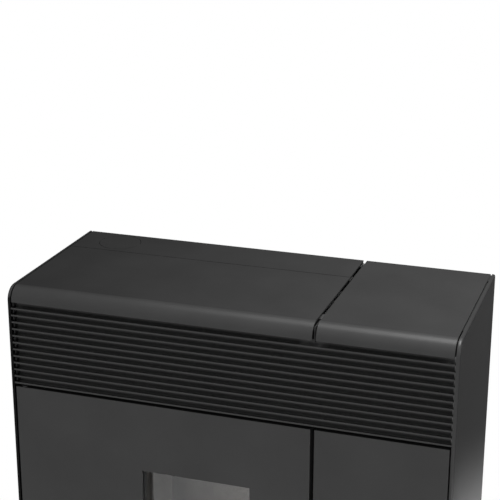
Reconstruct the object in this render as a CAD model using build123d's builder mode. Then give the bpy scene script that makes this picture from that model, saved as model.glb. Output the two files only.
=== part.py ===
"""A slim free-standing pellet stove, as an assembly of separate pieces.

The frame has its origin on the floor under the middle of the stove. X runs along the
front towards the hopper side, Y runs from the front to the wall, and Z is up.
"""

import os
from math import atan2, cos, degrees, radians, sin

from build123d import *

os.makedirs("parts", exist_ok=True)

# ---------------------------------------------------------------------------
# Driving dimensions, in millimetres
# ---------------------------------------------------------------------------

# Casing
WIDTH = 900.0             # over the two side panels
DEPTH = 388.0             # front face to rear edge
HEIGHT = 1110.0           # floor to top face
FOOT_RISE = 20.0          # floor to the underside of the base
SIDE_RIM = 7.0            # how far the side panels are folded in
SIDE_SHEET = 1.5
SIDE_EDGE_R = 4.5         # rounding of a side panel's outer edge
SIDE_LIFT = 4.0           # side panels start this far above the base's underside
FRONT_CORNER_R = 29.0     # rounding between the top and the front
COVER_GAP = 2.8           # side panel to the pieces between the sides
MODULE_GAP = 7.5          # between the fire side and the hopper side
MODULE_X = 179.3          # middle of that gap
COVER_SHEET = 3.0
NOSE_DROP = 30.0          # how far the top covers turn down at the front
SEAM_FROM_REAR = 111.1    # seam between the left cover and the strip behind it
SEAM_GAP = 1.5
REAR_EDGE_GAP = 1.0       # top covers to the rear edge of the side panels
STRIP_FLANGE = 42.0       # how far the rear strip turns down over the rear panel
REAR_RECESS = 4.0         # rear panel to the rear edge of the side panels
REAR_SHEET = 1.5
REAR_TOP_DROP = 32.0      # rear panel's upper edge under the top face
VENT_SLOT = (34.0, 7.0)
VENT_PITCH = (42.0, 19.0)
VENT_TOP_DROP = 230.0     # middle of the upper vents under the top face
KNOCKOUT_FROM_REAR = 55.0
KNOCKOUT_R = 45.0
KNOCKOUT_SLOT = 1.0
KNOCKOUT_TABS = 4
KNOCKOUT_TAB_DEG = 8.0

# Louvre
BLADE_COUNT = 12
BLADE_PITCH = 14.44
BLADE_TOP_DROP = 43.2     # middle of the first blade's lip under the top face
BLADE_LIP = 3.4
BLADE_SHEET = 1.4
BLADE_RUN = 13.0          # how far a blade reaches back
BLADE_FALL_DEG = 21.0     # blades fall towards the back
BLADE_RISE = 10.0         # then turn up at 45 degrees, so nothing shows through
GRILLE_CHEEK = 2.0
GRILLE_SETBACK = 8.0      # cheeks behind the front face
GRILLE_RIB = 3.0
GRILLE_RIB_DEPTH = 9.0    # ribs behind the blades
GRILLE_RIB_SPACING = 220.0
GRILLE_DROP = 4.7         # cheeks reach this far below the last blade's lip
GRILLE_HEADROOM = 1.0     # cheeks end this far under the top rails

# Front panels
PANEL_SHEET = 2.0
PANEL_FLANGE = 24.0       # depth of the folded edges
PANEL_EDGE_R = 1.5
HOOK_INSET = 86.0         # panel's hooks from its lower and upper edges
DOOR_TOP_DROP = 210.4     # door's upper edge under the top face
DOOR_BOTTOM = 262.0
DRAWER_GAP = 6.0          # door to drawer front
PLINTH_TOP = 54.0
PLINTH_GAP = 4.0
PLINTH_SETBACK = 4.0
WINDOW_X0_IN = 281.0      # window's left edge from the left side
WINDOW_X1 = 55.5
WINDOW_TOP_DROP = 354.5
WINDOW_BOTTOM = 355.0
DOOR_PIVOT_IN = 18.0      # pivot from the door's hinge edge
DOOR_PIVOT_BACK = 6.5     # pivot behind the front face

# Door pieces behind the skin
FRAME_SETBACK = 14.0      # front face to the inner frame
FRAME_THICK = 10.0
FRAME_BORDER = 61.0       # inner frame past the window, sideways
FRAME_BORDER_Z = 43.0     # and above and below it
FRAME_REVEAL = 1.0        # inner frame's opening past the window
CHANNEL_WALL = 4.0
CHANNEL_WIDTH = 12.0
CHANNEL_DEPTH = 7.0
ROPE_R = 5.7
ROPE_BEND = 18.0          # rope's path at the corners
GLASS_THICK = 4.0
GLASS_LAP = 18.0          # glass past the window
TAPE_THICK = 1.5
TAPE_WIDTH = 10.0
CLIP_WIDTH = 22.0
CLIP_SHEET = 2.0
CLIP_LAP = 8.0
CLIP_FOOT = 10.0
SEAT_GAP = 0.3            # two bodies that rest on each other

# Hinges and latch
PIN_R = 3.0
RUNNING_GAP = 0.06        # radial clearance of a pin or shaft
BUSH_WALL = 1.5
BUSH_LENGTH = 13.0
HINGE_PLATE = 2.5
HINGE_ARM_WIDTH = 33.0
HINGE_TAB = 26.0
LATCH_X = 145.0
LATCH_Z = 560.0
CUP_R = 25.0
CUP_DEPTH = 17.0
CUP_SHEET = 1.5
SPINDLE_R = 5.0
KNOB_LENGTH = 42.0
KNOB_WIDTH = 11.0
KNOB_DEPTH = 9.0
TONGUE_LENGTH = 29.0
TONGUE_WIDTH = 16.0
TONGUE_SHEET = 3.0
KEEPER_SHEET = 3.0
KEEPER_HEIGHT = 44.0
KEEPER_LEAD = 3.0         # tongue behind the keeper when it is turned home
LATCH_BEARING_R = 9.0
LATCH_BEARING_LENGTH = 20.0

# Frame of the casing
POST = 25.0               # angle profile, both legs
POST_SHEET = 2.5
POST_SETBACK = 44.0       # frame behind the front face
SIDE_RAIL_Z = 520.0       # top of the bars between the posts
WELD_GAP = 0.2
BASE_SHEET = 3.0
BASE_FLANGE = 25.0
PARTITION_SHEET = 2.0
PARTITION_FLANGE = 22.0
PARTITION_INSET = 6.0     # partition's raised edge inside the covers' outline
FOOT_R = 20.0
FOOT_PAD = 8.0
FOOT_STEM_R = 5.0
FOOT_NUT_R = 10.0
FOOT_NUT_H = 9.0
FOOT_INSET_X = 50.0
FOOT_INSET_Y = 44.0
FOOT_STEM_TOP = 40.0

# Firebox
FIREBOX_SETBACK = 36.0
FIREBOX_STEEL = 4.0
FIREBOX_X0_IN = 236.0     # firebox from the left side
FIREBOX_X1 = 100.0
FIREBOX_FROM_REAR = 154.0
FIREBOX_FLOOR = 300.0
FIREBOX_TOP_DROP = 110.0
FIREBOX_FLANGE = 24.0
DOORWAY_X_INSET = 5.0
DOORWAY_BOTTOM = 322.0
DOORWAY_TOP_DROP = 328.0
BOARD = 20.0              # vermiculite boards
BOARD_TOP_DROP = 170.0    # boards end under the top of the firebox
BOARD_GROOVE = 3.0
BAFFLE_GAP = 34.0         # smoke passes in front of the baffle
TUBE_R = 21.0
TUBE_WALL = 2.5
TUBE_COLUMNS = 5
TUBE_ROW_DROPS = (112.0, 56.0)
TUBE_MARGIN = 13.0        # between the outer tubes' pitch and the walls
TUBE_END = 5.0

# Burn pot
POT_FORWARD = 4.0         # pot in front of the fire room's middle
POT_TOP_HALF = 48.0
POT_BOTTOM_HALF = 38.0
POT_WALL = 5.0
POT_CORNER_R = 8.0
POT_BOTTOM = 314.0
POT_TOP = 400.0
POT_FLANGE_Z = 345.0
POT_FLANGE_HALF = 60.0
POT_FLANGE_THICK = 4.0
POT_HOLE_R = 3.5
CRADLE_GAP = 6.0
CRADLE_WALL = 3.0
IGNITER_R = 8.0
IGNITER_Z = 330.0
IGNITER_LENGTH = 116.0

# Ash compartment and drawer
ASH_INSET = 32.0          # inside the firebox's sides
ASH_BOTTOM = 140.0
ASH_FROM_REAR = 99.0
ASH_SHEET = 2.0
DRAWER_SIDE_GAP = 3.0
DRAWER_SHEET = 1.5
DRAWER_HEIGHT = 92.0
DRAWER_BACK_GAP = 8.0
RUNNER_HEIGHT = 6.0
RUNNER_WIDTH = 14.0
SEAL_BORDER = 14.0
SEAL_SHEET = 3.0

# Smoke path
DUCT_WIDTH = 102.0
DUCT_DEPTH = 140.0
DUCT_PAST_BACK = 40.0     # duct reaches behind the firebox
DUCT_Z0 = 110.0
DUCT_TOP_DROP = 30.0      # under the firebox's top
DUCT_SHEET = 1.5
PORT_HEIGHT = 100.0
PORT_DEPTH = 76.0
PORT_MARGIN = 8.0
FAN_BEFORE_BACK = 16.0    # fan's axis in front of the firebox's back
FAN_Z = 190.0
FAN_R = 62.0
FAN_GAP = 8.0
FAN_STEP = 8.0
FAN_WIDTH = 70.0
FAN_WALL = 2.0
FAN_EYE_R = 40.0
FAN_OUTLET_H = 78.0
FAN_OUTLET_REACH = 96.0   # axis to the outlet's end
FAN_BLADES = 8
FAN_BLADE_SHEET = 2.0
FAN_HUB_R = 12.0
FAN_SHAFT_R = 4.0
FAN_MOTOR_R = 40.0
FAN_MOTOR_LENGTH = 42.0
FLUE_R = 40.0
FLUE_WALL = 1.5
FLUE_FLANGE = 94.0
FLUE_FLANGE_THICK = 3.0
PIPE_END_GAP = 2.0        # pipe ends to the rear edge of the casing
PIPE_SLEEVE_GAP = 14.0    # rear panel's hole round a pipe
INTAKE_R = 25.0
INTAKE_WALL = 1.5
INTAKE_INSET = 38.0       # from the firebox's right side
INTAKE_Z = 334.0

# Room air fan
BLOWER_INSET_LEFT = 9.0   # from the firebox's sides
BLOWER_INSET_RIGHT = 34.0
BLOWER_FROM_REAR = 51.0
BLOWER_Z = 150.0
BLOWER_R = 30.0
BLOWER_BLADES = 20
BLOWER_BLADE_CHORD = 11.0
BLOWER_BLADE_BOW = 2.6
BLOWER_BLADE_SHEET = 1.3
BLOWER_DISC = 2.0
BLOWER_GAP = 4.0
BLOWER_SHEET = 1.5
BLOWER_THROAT = 34.0
BLOWER_SHAFT_R = 4.0
BLOWER_MOTOR_R = 29.0
BLOWER_MOTOR_LENGTH = 60.0

# Hopper and feed
HOPPER_GAP_X = 11.0       # to the partition and to the side panel
HOPPER_SETBACK = 72.0     # behind the front posts
HOPPER_FROM_REAR = 44.0
HOPPER_SHEET = 1.5
HOPPER_RIM = 6.0
HOPPER_TAPER_DROP = 320.0
GASKET_HEIGHT = 8.0
AUGER_INSET = 81.0        # lower end of the feed tube's axis from the side panel
AUGER_BEHIND_POT = 5.0
AUGER_TOP_X = 128.7       # upper end of that axis
AUGER_TOP_Z = 663.3
AUGER_TILT = 45.0
AUGER_TUBE_R = 30.0
AUGER_TUBE_WALL = 2.5
AUGER_SCREW_R = 26.0
AUGER_SHAFT_R = 8.0
AUGER_PITCH = 44.0
AUGER_FLIGHT_SHEET = 3.0
AUGER_END_GAP = 6.0
AUGER_STUB = 16.0
AUGER_STUB_R = 6.0
AUGER_END_PLATE = 4.0
THROAT_FORWARD = 57.0     # throat from the tube's lower end, along X
THROAT_HALF = 28.0
THROAT_LIFT = 100.0       # throat flange above the feed tube's axis
THROAT_WALL = 2.0
THROAT_FLANGE = 10.0
OUTLET_X = 145.0
OUTLET_HALF = 22.0
GEARBOX_HALF = 28.0
GEARBOX_LENGTH = 34.0
FEED_MOTOR_R = 24.0
FEED_MOTOR_LENGTH = 26.0
CHUTE_SHEET = 2.0
CHUTE_SLOPE = 41.0
CHUTE_TOP_DROP = 4.0
CHUTE_LIP_X = 24.0
CHUTE_MOUTH_X = 76.0
CHUTE_HEIGHT = 46.0

# Lid hinge
LID_AXIS_FROM_REAR = 14.0
LID_AXIS_DROP = 10.0
LID_LUG_R = 5.5
LID_LUG_WIDTH = 30.0
LID_LUG_INSET = 47.0      # middle of a lug from the lid's side
LID_EAR = 2.5
LID_EAR_GAP = 1.0
LID_RAIL_DROP = 27.0      # rear rail under the lid, below the top face

# Controls
PANEL_INSET = 16.5
PANEL_DEPTH = 60.0
PANEL_BODY_H = 24.0
PANEL_TOP_DROP = 14.0
BUTTON_R = 6.0
BUTTON_PITCH = 28.0
BUTTON_GAP = 0.25
BUTTON_PROUD = 1.8
BUTTON_HEIGHT = 6.0
BUTTON_FLANGE = 1.2
DISPLAY_INSET = 16.0
DISPLAY_WIDTH = 80.0
DISPLAY_DEPTH = 22.0
BOARD_FROM_REAR = 84.0
BOARD_LENGTH = 150.0
BOARD_Z0 = 110.0
BOARD_HEIGHT = 120.0
BOARD_MARGIN = 8.0
STANDOFF = 8.0
STANDOFF_R = 4.0
PCB_SHEET = 1.6
RELAY_COUNT = 4
RELAY = (15.0, 20.0, 15.0)
RELAY_PITCH = 30.0
TRANSFORMER = (28.0, 40.0, 34.0)
CAPACITOR_R = 7.0
CAPACITOR_LENGTH = 24.0
CAPACITOR_PITCH = 20.0
INLET_INSET = 71.0
INLET_Z = 110.0
INLET_WIDTH = 50.0
INLET_HEIGHT = 66.0
INLET_FASCIA = 2.0
INLET_DEPTH = 26.0
SOCKET_WIDTH = 27.0
SOCKET_HEIGHT = 20.0
SOCKET_DEPTH = 17.0
ROCKER_WIDTH = 20.0
ROCKER_HEIGHT = 13.0
ROCKER_TILT = 9.0
ROCKER_DEPTH = 10.0
STAT_PITCH = 72.0         # thermostat from the mains inlet
STAT_Z = 120.0
STAT_R = 12.0
STAT_DEPTH = 14.0
STAT_NECK_R = 6.0
RESET_R = 3.0
RESET_TRAVEL = 2.0

# ---------------------------------------------------------------------------
# Places that follow from the sizes
# ---------------------------------------------------------------------------

X_OUT = WIDTH / 2
X_IN = X_OUT - SIDE_RIM
Y_FRONT = -DEPTH / 2
Y_REAR = DEPTH / 2
LEFT_X0 = -X_IN + COVER_GAP
LEFT_X1 = MODULE_X - MODULE_GAP / 2
RIGHT_X0 = MODULE_X + MODULE_GAP / 2
RIGHT_X1 = X_IN - COVER_GAP
COVER_UNDER = HEIGHT - COVER_SHEET
COVER_REAR_Y = Y_REAR - REAR_EDGE_GAP
SIDE_BOTTOM = FOOT_RISE + SIDE_LIFT
BASE_TOP = FOOT_RISE + BASE_SHEET
SEAM_Y = Y_REAR - SEAM_FROM_REAR
POST_FRONT_Y = Y_FRONT + POST_SETBACK
PANEL_Y = Y_REAR - REAR_RECESS            # rear panel's outer face
PANEL_IN_Y = PANEL_Y - REAR_SHEET
PANEL_TOP = HEIGHT - REAR_TOP_DROP
REAR_POST_Y = PANEL_IN_Y - POST

DOOR_TOP = HEIGHT - DOOR_TOP_DROP
DRAWER_TOP = DOOR_BOTTOM - DRAWER_GAP
DRAWER_BOTTOM = PLINTH_TOP + PLINTH_GAP
WINDOW_X0 = -X_OUT + WINDOW_X0_IN
WINDOW_TOP = HEIGHT - WINDOW_TOP_DROP
PIVOT_X = LEFT_X0 + DOOR_PIVOT_IN
PIVOT_Y = Y_FRONT + DOOR_PIVOT_BACK

BLADE_LAST_Z = HEIGHT - BLADE_TOP_DROP - (BLADE_COUNT - 1) * BLADE_PITCH
GRILLE_Z0 = BLADE_LAST_Z - GRILLE_DROP
RAIL_TOP = COVER_UNDER
RAIL_BOTTOM = RAIL_TOP - POST

FIREBOX_FACE_Y = Y_FRONT + FIREBOX_SETBACK
FIREBOX_BACK_Y = Y_REAR - FIREBOX_FROM_REAR
FIREBOX_X0 = -X_OUT + FIREBOX_X0_IN
FIREBOX_TOP = HEIGHT - FIREBOX_TOP_DROP
BOARD_TOP = FIREBOX_TOP - BOARD_TOP_DROP
BOX_X0 = FIREBOX_X0 + FIREBOX_STEEL
BOX_X1 = FIREBOX_X1 - FIREBOX_STEEL
BOX_BACK = FIREBOX_BACK_Y - FIREBOX_STEEL
BOX_FLOOR = FIREBOX_FLOOR + FIREBOX_STEEL
ROOM_X0 = BOX_X0 + BOARD
ROOM_X1 = BOX_X1 - BOARD
ROOM_BACK = BOX_BACK - BOARD
POT_X = (FIREBOX_X0 + FIREBOX_X1) / 2
POT_Y = (FIREBOX_FACE_Y + ROOM_BACK) / 2 - POT_FORWARD
INTAKE_X = FIREBOX_X1 - INTAKE_INSET

FRAME_Y0 = Y_FRONT + FRAME_SETBACK
FRAME_Y1 = FRAME_Y0 + FRAME_THICK
FRAME_X0 = WINDOW_X0 - FRAME_BORDER
FRAME_X1 = WINDOW_X1 + FRAME_BORDER
FRAME_Z0 = WINDOW_BOTTOM - FRAME_BORDER_Z
FRAME_Z1 = WINDOW_TOP + FRAME_BORDER_Z
FRAME_WIDTH = FRAME_X1 - FRAME_X0
FRAME_HEIGHT = FRAME_Z1 - FRAME_Z0
FRAME_MID = ((FRAME_X0 + FRAME_X1) / 2, (FRAME_Z0 + FRAME_Z1) / 2)
ROPE_INSET = CHANNEL_WALL + CHANNEL_WIDTH / 2
ROPE_Y = FIREBOX_FACE_Y - SEAT_GAP - ROPE_R
GLASS_Y0 = FRAME_Y1 + TAPE_THICK
GLASS_Y1 = GLASS_Y0 + GLASS_THICK

PARTITION_X0 = MODULE_X - PARTITION_SHEET / 2
PARTITION_X1 = MODULE_X + PARTITION_SHEET / 2

AUGER_UNIT = (-cos(radians(AUGER_TILT)), 0.0, sin(radians(AUGER_TILT)))
AUGER_X = X_IN - AUGER_INSET
AUGER_Y = POT_Y + AUGER_BEHIND_POT
AUGER_TUBE_LENGTH = (AUGER_X - AUGER_TOP_X) / cos(radians(AUGER_TILT))
AUGER_Z = AUGER_TOP_Z - AUGER_TUBE_LENGTH * sin(radians(AUGER_TILT))
THROAT_X = AUGER_X - THROAT_FORWARD


def auger_z(x):
    """Height of the feed tube's axis over a place along X."""
    return AUGER_Z + (AUGER_X - x) * sin(radians(AUGER_TILT)) / cos(radians(AUGER_TILT))


AUGER_PLANE = Plane(origin=(AUGER_X, AUGER_Y, AUGER_Z), x_dir=(0, 1, 0), z_dir=AUGER_UNIT)
THROAT_Z = auger_z(THROAT_X) + THROAT_LIFT
OUTLET_Z = auger_z(OUTLET_X + OUTLET_HALF) - AUGER_TUBE_R / cos(radians(AUGER_TILT)) - CHUTE_TOP_DROP

DUCT_X0 = FIREBOX_X0 - DUCT_WIDTH
DUCT_Y1 = FIREBOX_BACK_Y + DUCT_PAST_BACK
DUCT_Y0 = DUCT_Y1 - DUCT_DEPTH
DUCT_Z1 = FIREBOX_TOP - DUCT_TOP_DROP
DUCT_PORT_Y1 = BOX_BACK - PORT_MARGIN
DUCT_PORT_Y0 = DUCT_PORT_Y1 - PORT_DEPTH
DUCT_PORT_Z1 = DUCT_Z1 - PORT_MARGIN
DUCT_PORT_Z0 = DUCT_PORT_Z1 - PORT_HEIGHT
FAN_X1 = DUCT_X0
FAN_X0 = FAN_X1 - FAN_WIDTH
FAN_Y = FIREBOX_BACK_Y - FAN_BEFORE_BACK
FAN_OUTLET_Y = FAN_Y + FAN_OUTLET_REACH
VOLUTE_R = FAN_R + FAN_GAP
FAN_TOP = FAN_Z + FAN_STEP + VOLUTE_R + 2 * FAN_STEP
FLUE_X = (FAN_X0 + FAN_X1) / 2
FLUE_Z = FAN_TOP - FAN_OUTLET_H / 2
PIPE_END_Y = Y_REAR - PIPE_END_GAP
LID_AXIS_Y = Y_REAR - LID_AXIS_FROM_REAR
LID_AXIS_Z = HEIGHT - LID_AXIS_DROP
LID_LUG_X = (RIGHT_X0 + LID_LUG_INSET, RIGHT_X1 - LID_LUG_INSET)
LID_RAIL_TOP = HEIGHT - LID_RAIL_DROP
HOPPER_X0 = PARTITION_X1 + HOPPER_GAP_X
HOPPER_X1 = X_IN - HOPPER_GAP_X
HOPPER_Y0 = POST_FRONT_Y + HOPPER_SETBACK
HOPPER_Y1 = Y_REAR - HOPPER_FROM_REAR
HOPPER_TAPER_Z = HEIGHT - HOPPER_TAPER_DROP
HOPPER_TOP = COVER_UNDER - GASKET_HEIGHT - SEAT_GAP
ASH_X0 = FIREBOX_X0 + ASH_INSET
ASH_X1 = FIREBOX_X1 - ASH_INSET
ASH_BACK_Y = Y_REAR - ASH_FROM_REAR
BLOWER_X0 = FIREBOX_X0 + BLOWER_INSET_LEFT
BLOWER_X1 = FIREBOX_X1 - BLOWER_INSET_RIGHT
BLOWER_Y = Y_REAR - BLOWER_FROM_REAR
PANEL_X0 = RIGHT_X0 + PANEL_INSET
PANEL_X1 = RIGHT_X1 - PANEL_INSET
BUTTON_X = [PANEL_X1 - index * BUTTON_PITCH for index in (3, 2, 1)]
DISPLAY_X0 = PANEL_X0 + DISPLAY_INSET
DISPLAY_X1 = DISPLAY_X0 + DISPLAY_WIDTH
BOARD_Y1 = Y_REAR - BOARD_FROM_REAR
BOARD_Y0 = BOARD_Y1 - BOARD_LENGTH
BOARD_Z1 = BOARD_Z0 + BOARD_HEIGHT
INLET_X = X_IN - INLET_INSET
STAT_X = INLET_X - STAT_PITCH
CONTROL_TOP = HEIGHT - PANEL_TOP_DROP
CONTROL_Y0 = POST_FRONT_Y + POST_SHEET


# ---------------------------------------------------------------------------
# Helpers
# ---------------------------------------------------------------------------

def facing(y):
    """A sketch plane seen from the front, at this depth: u is X and v is Z.

    A positive extrusion from it comes towards the front.
    """
    return Plane.XZ.offset(-y)


def section(x):
    """A sketch plane across the stove, at this X: u is Y and v is Z."""
    return Plane.YZ.offset(x)


def level(z):
    """A sketch plane at this height: u is X and v is Y."""
    return Plane.XY.offset(z)


def spanning(u0, u1, v0, v1, mode=Mode.ADD):
    """A rectangle of the current sketch, given by two corners."""
    with Locations(((u0 + u1) / 2, (v0 + v1) / 2)):
        return Rectangle(u1 - u0, v1 - v0, mode=mode)


def bar(x0, x1, y0, y1, z0, z1, mode=Mode.ADD):
    """A straight bar of the current part, given by two corners."""
    with Locations(((x0 + x1) / 2, (y0 + y1) / 2, (z0 + z1) / 2)):
        return Box(x1 - x0, y1 - y0, z1 - z0, mode=mode)


def rod(start, end, radius, mode=Mode.ADD):
    """A round rod of the current part between two points."""
    axis = Vector(*end) - Vector(*start)
    place = Plane(origin=start, z_dir=axis)
    with Locations(place):
        return Cylinder(radius, axis.length, align=(Align.CENTER, Align.CENTER, Align.MIN), mode=mode)


def save(piece, name):
    """Label a finished piece and write it to its own file."""
    piece.part.label = name
    export_step(piece.part, f"parts/{name}.step")


def folded_panel(x0, x1, z0, z1):
    """Sheet on the front plane with all four edges turned back, for the current part."""
    with BuildSketch(facing(Y_FRONT + PANEL_FLANGE)) as outline:
        spanning(x0, x1, z0, z1)
    extrude(outline.sketch, amount=PANEL_FLANGE)
    context = BuildPart._get_context()
    fillet(context.faces().sort_by(Axis.Y)[0].edges(), PANEL_EDGE_R)
    with BuildSketch(facing(Y_FRONT + PANEL_FLANGE)) as pocket:
        spanning(x0 + PANEL_SHEET, x1 - PANEL_SHEET, z0 + PANEL_SHEET, z1 - PANEL_SHEET)
    extrude(pocket.sketch, amount=PANEL_FLANGE - PANEL_SHEET, mode=Mode.SUBTRACT)


def cover_profile(y_rear):
    """Side view of a top cover: flat, with the front edge rolled down."""
    inner_r = FRONT_CORNER_R - COVER_SHEET
    bend_y = Y_FRONT + FRONT_CORNER_R
    bend_z = HEIGHT - FRONT_CORNER_R
    with BuildLine() as profile:
        Line((y_rear, COVER_UNDER), (y_rear, HEIGHT))
        Line((y_rear, HEIGHT), (bend_y, HEIGHT))
        CenterArc((bend_y, bend_z), FRONT_CORNER_R, 90, 90)
        Line((Y_FRONT, bend_z), (Y_FRONT, HEIGHT - NOSE_DROP))
        Line((Y_FRONT, HEIGHT - NOSE_DROP), (Y_FRONT + COVER_SHEET, HEIGHT - NOSE_DROP))
        Line((Y_FRONT + COVER_SHEET, HEIGHT - NOSE_DROP), (Y_FRONT + COVER_SHEET, bend_z))
        CenterArc((bend_y, bend_z), inner_r, 180, -90)
        Line((bend_y, COVER_UNDER), (y_rear, COVER_UNDER))
    make_face(profile.line)


# ---------------------------------------------------------------------------
# Base and frame of the casing
# ---------------------------------------------------------------------------

FOOT_PLACES = [
    (x * (X_OUT - FOOT_INSET_X), y * (Y_REAR - FOOT_INSET_Y)) for x in (-1, 1) for y in (-1, 1)
]

with BuildPart() as base_plate:
    with BuildSketch(level(FOOT_RISE)):
        spanning(-X_IN, X_IN, Y_FRONT + PLINTH_SETBACK, PANEL_IN_Y)
    extrude(amount=BASE_FLANGE)
    with BuildSketch(level(BASE_TOP)):
        spanning(-X_IN + BASE_SHEET, X_IN - BASE_SHEET,
                 Y_FRONT + PLINTH_SETBACK + BASE_SHEET, PANEL_IN_Y - BASE_SHEET)
    extrude(amount=BASE_FLANGE, mode=Mode.SUBTRACT)
    bar(-X_IN, X_IN, Y_FRONT + PLINTH_SETBACK, Y_FRONT + PLINTH_SETBACK + BASE_SHEET,
        FOOT_RISE, PLINTH_TOP)
    with BuildSketch(level(BASE_TOP)):
        with Locations(*FOOT_PLACES):
            RegularPolygon(FOOT_NUT_R, 6)
    extrude(amount=FOOT_NUT_H)
    with BuildSketch(level(FOOT_RISE)):
        with Locations(*FOOT_PLACES):
            Circle(FOOT_STEM_R + RUNNING_GAP)
        with GridLocations(44, 60, 5, 1):
            SlotOverall(36, 8)
    extrude(amount=FOOT_NUT_H + BASE_SHEET, mode=Mode.SUBTRACT)
save(base_plate, "base_plate")

with BuildPart() as levelling_feet:
    for place in FOOT_PLACES:
        with BuildSketch(Plane.XZ.offset(-place[1])) as half_foot:
            with BuildLine():
                Polyline((place[0], 0), (place[0] + FOOT_R, 0),
                         (place[0] + FOOT_R, FOOT_PAD * 0.45), (place[0] + FOOT_STEM_R * 2, FOOT_PAD),
                         (place[0] + FOOT_STEM_R, FOOT_PAD), (place[0] + FOOT_STEM_R, FOOT_STEM_TOP),
                         (place[0], FOOT_STEM_TOP), close=True)
            make_face()
        revolve(half_foot.sketch, axis=Axis((place[0], place[1], 0), (0, 0, 1)))
save(levelling_feet, "levelling_feet")


CHASSIS_X = X_IN - BASE_SHEET
REAR_LEG_Y = REAR_POST_Y - BASE_SHEET


def angle_post(x_out, y_out, x_turn, y_turn, z_top):
    """Upright angle profile whose legs meet at its outer corner."""
    bar(*sorted((x_out, x_out + x_turn * POST)), *sorted((y_out, y_out + y_turn * POST_SHEET)),
        BASE_TOP, z_top)
    bar(*sorted((x_out, x_out + x_turn * POST_SHEET)), *sorted((y_out, y_out + y_turn * POST)),
        BASE_TOP, z_top)


def angle_rail(x0, x1, y0, z_top):
    """Level angle profile along X, with one leg under its top."""
    bar(x0, x1, y0, y0 + POST, z_top - POST_SHEET, z_top)
    bar(x0, x1, y0, y0 + POST_SHEET, z_top - POST, z_top)


def side_rail(x_out, x_turn, z_top):
    """Flat bar along a side, between the front post and the rear post."""
    bar(*sorted((x_out, x_out + x_turn * POST_SHEET)), POST_FRONT_Y + POST + WELD_GAP,
        REAR_LEG_Y - WELD_GAP, z_top - POST, z_top)


with BuildPart() as chassis_frame:
    for side in (-1, 1):
        rear_top = RAIL_BOTTOM if side < 0 else LID_RAIL_TOP - POST
        angle_post(side * CHASSIS_X, POST_FRONT_Y, -side, 1, RAIL_BOTTOM - WELD_GAP)
        angle_post(side * CHASSIS_X, REAR_LEG_Y + POST, -side, -1, rear_top - WELD_GAP)
        side_rail(side * CHASSIS_X, -side, SIDE_RAIL_Z)
    angle_rail(-CHASSIS_X, CHASSIS_X, POST_FRONT_Y, RAIL_TOP)
    angle_rail(-CHASSIS_X, PARTITION_X0, SEAM_Y - POST / 2, RAIL_TOP)
    angle_rail(-CHASSIS_X, PARTITION_X0, REAR_LEG_Y, RAIL_TOP)
    angle_rail(PARTITION_X1, CHASSIS_X, REAR_LEG_Y, LID_RAIL_TOP)
save(chassis_frame, "chassis_frame")

PARTITION_TOP = COVER_UNDER - POST_SHEET - SEAT_GAP
PARTITION_SHOULDER = PANEL_TOP + WELD_GAP

with BuildPart() as module_partition:
    with BuildSketch(section(PARTITION_X0)) as sheet:
        spanning(POST_FRONT_Y, REAR_LEG_Y + POST, BASE_TOP, PARTITION_TOP)
        spanning(POST_FRONT_Y, PANEL_Y + REAR_SHEET, PARTITION_SHOULDER, PARTITION_TOP)
        spanning(Y_FRONT + PARTITION_INSET, POST_FRONT_Y, HEIGHT - NOSE_DROP - PARTITION_INSET, PARTITION_TOP)
        fillet(sheet.vertices().group_by(Axis.Y)[0].sort_by(Axis.Z)[-1], FRONT_CORNER_R - PARTITION_INSET)
        spanning(POST_FRONT_Y - SEAT_GAP, POST_FRONT_Y + POST_SHEET + SEAT_GAP,
                 RAIL_BOTTOM - SEAT_GAP, PARTITION_TOP, mode=Mode.SUBTRACT)
    extrude(amount=PARTITION_SHEET)
    bar(PARTITION_X0, PARTITION_X0 + PARTITION_FLANGE, POST_FRONT_Y, POST_FRONT_Y + PARTITION_SHEET,
        PLINTH_TOP, DOOR_TOP)
    with BuildSketch(AUGER_PLANE) as tube_hole:
        Circle(AUGER_TUBE_R + SEAT_GAP)
    extrude(tube_hole.sketch, amount=AUGER_TUBE_LENGTH, mode=Mode.SUBTRACT)
save(module_partition, "module_partition")


# ---------------------------------------------------------------------------
# Side panels, top covers and rear panel
# ---------------------------------------------------------------------------

with BuildPart() as side_panel_right:
    with BuildSketch(section(X_IN)):
        spanning(Y_FRONT, Y_REAR, SIDE_BOTTOM, HEIGHT)
    extrude(amount=SIDE_RIM)
    fillet(side_panel_right.edges().filter_by(Axis.X).group_by(Axis.Z)[-1].sort_by(Axis.Y)[0],
           FRONT_CORNER_R)
    fillet(side_panel_right.faces().sort_by(Axis.X)[-1].edges(), SIDE_EDGE_R)
    offset(amount=-SIDE_SHEET, openings=side_panel_right.faces().sort_by(Axis.X)[0])
save(side_panel_right, "side_panel_right")

with BuildPart() as side_panel_left:
    mirror(side_panel_right.part, about=Plane.YZ)
save(side_panel_left, "side_panel_left")

with BuildPart() as top_cover:
    with BuildSketch(section(LEFT_X0)):
        cover_profile(SEAM_Y - SEAM_GAP / 2)
    extrude(amount=LEFT_X1 - LEFT_X0)
save(top_cover, "top_cover")

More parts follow.
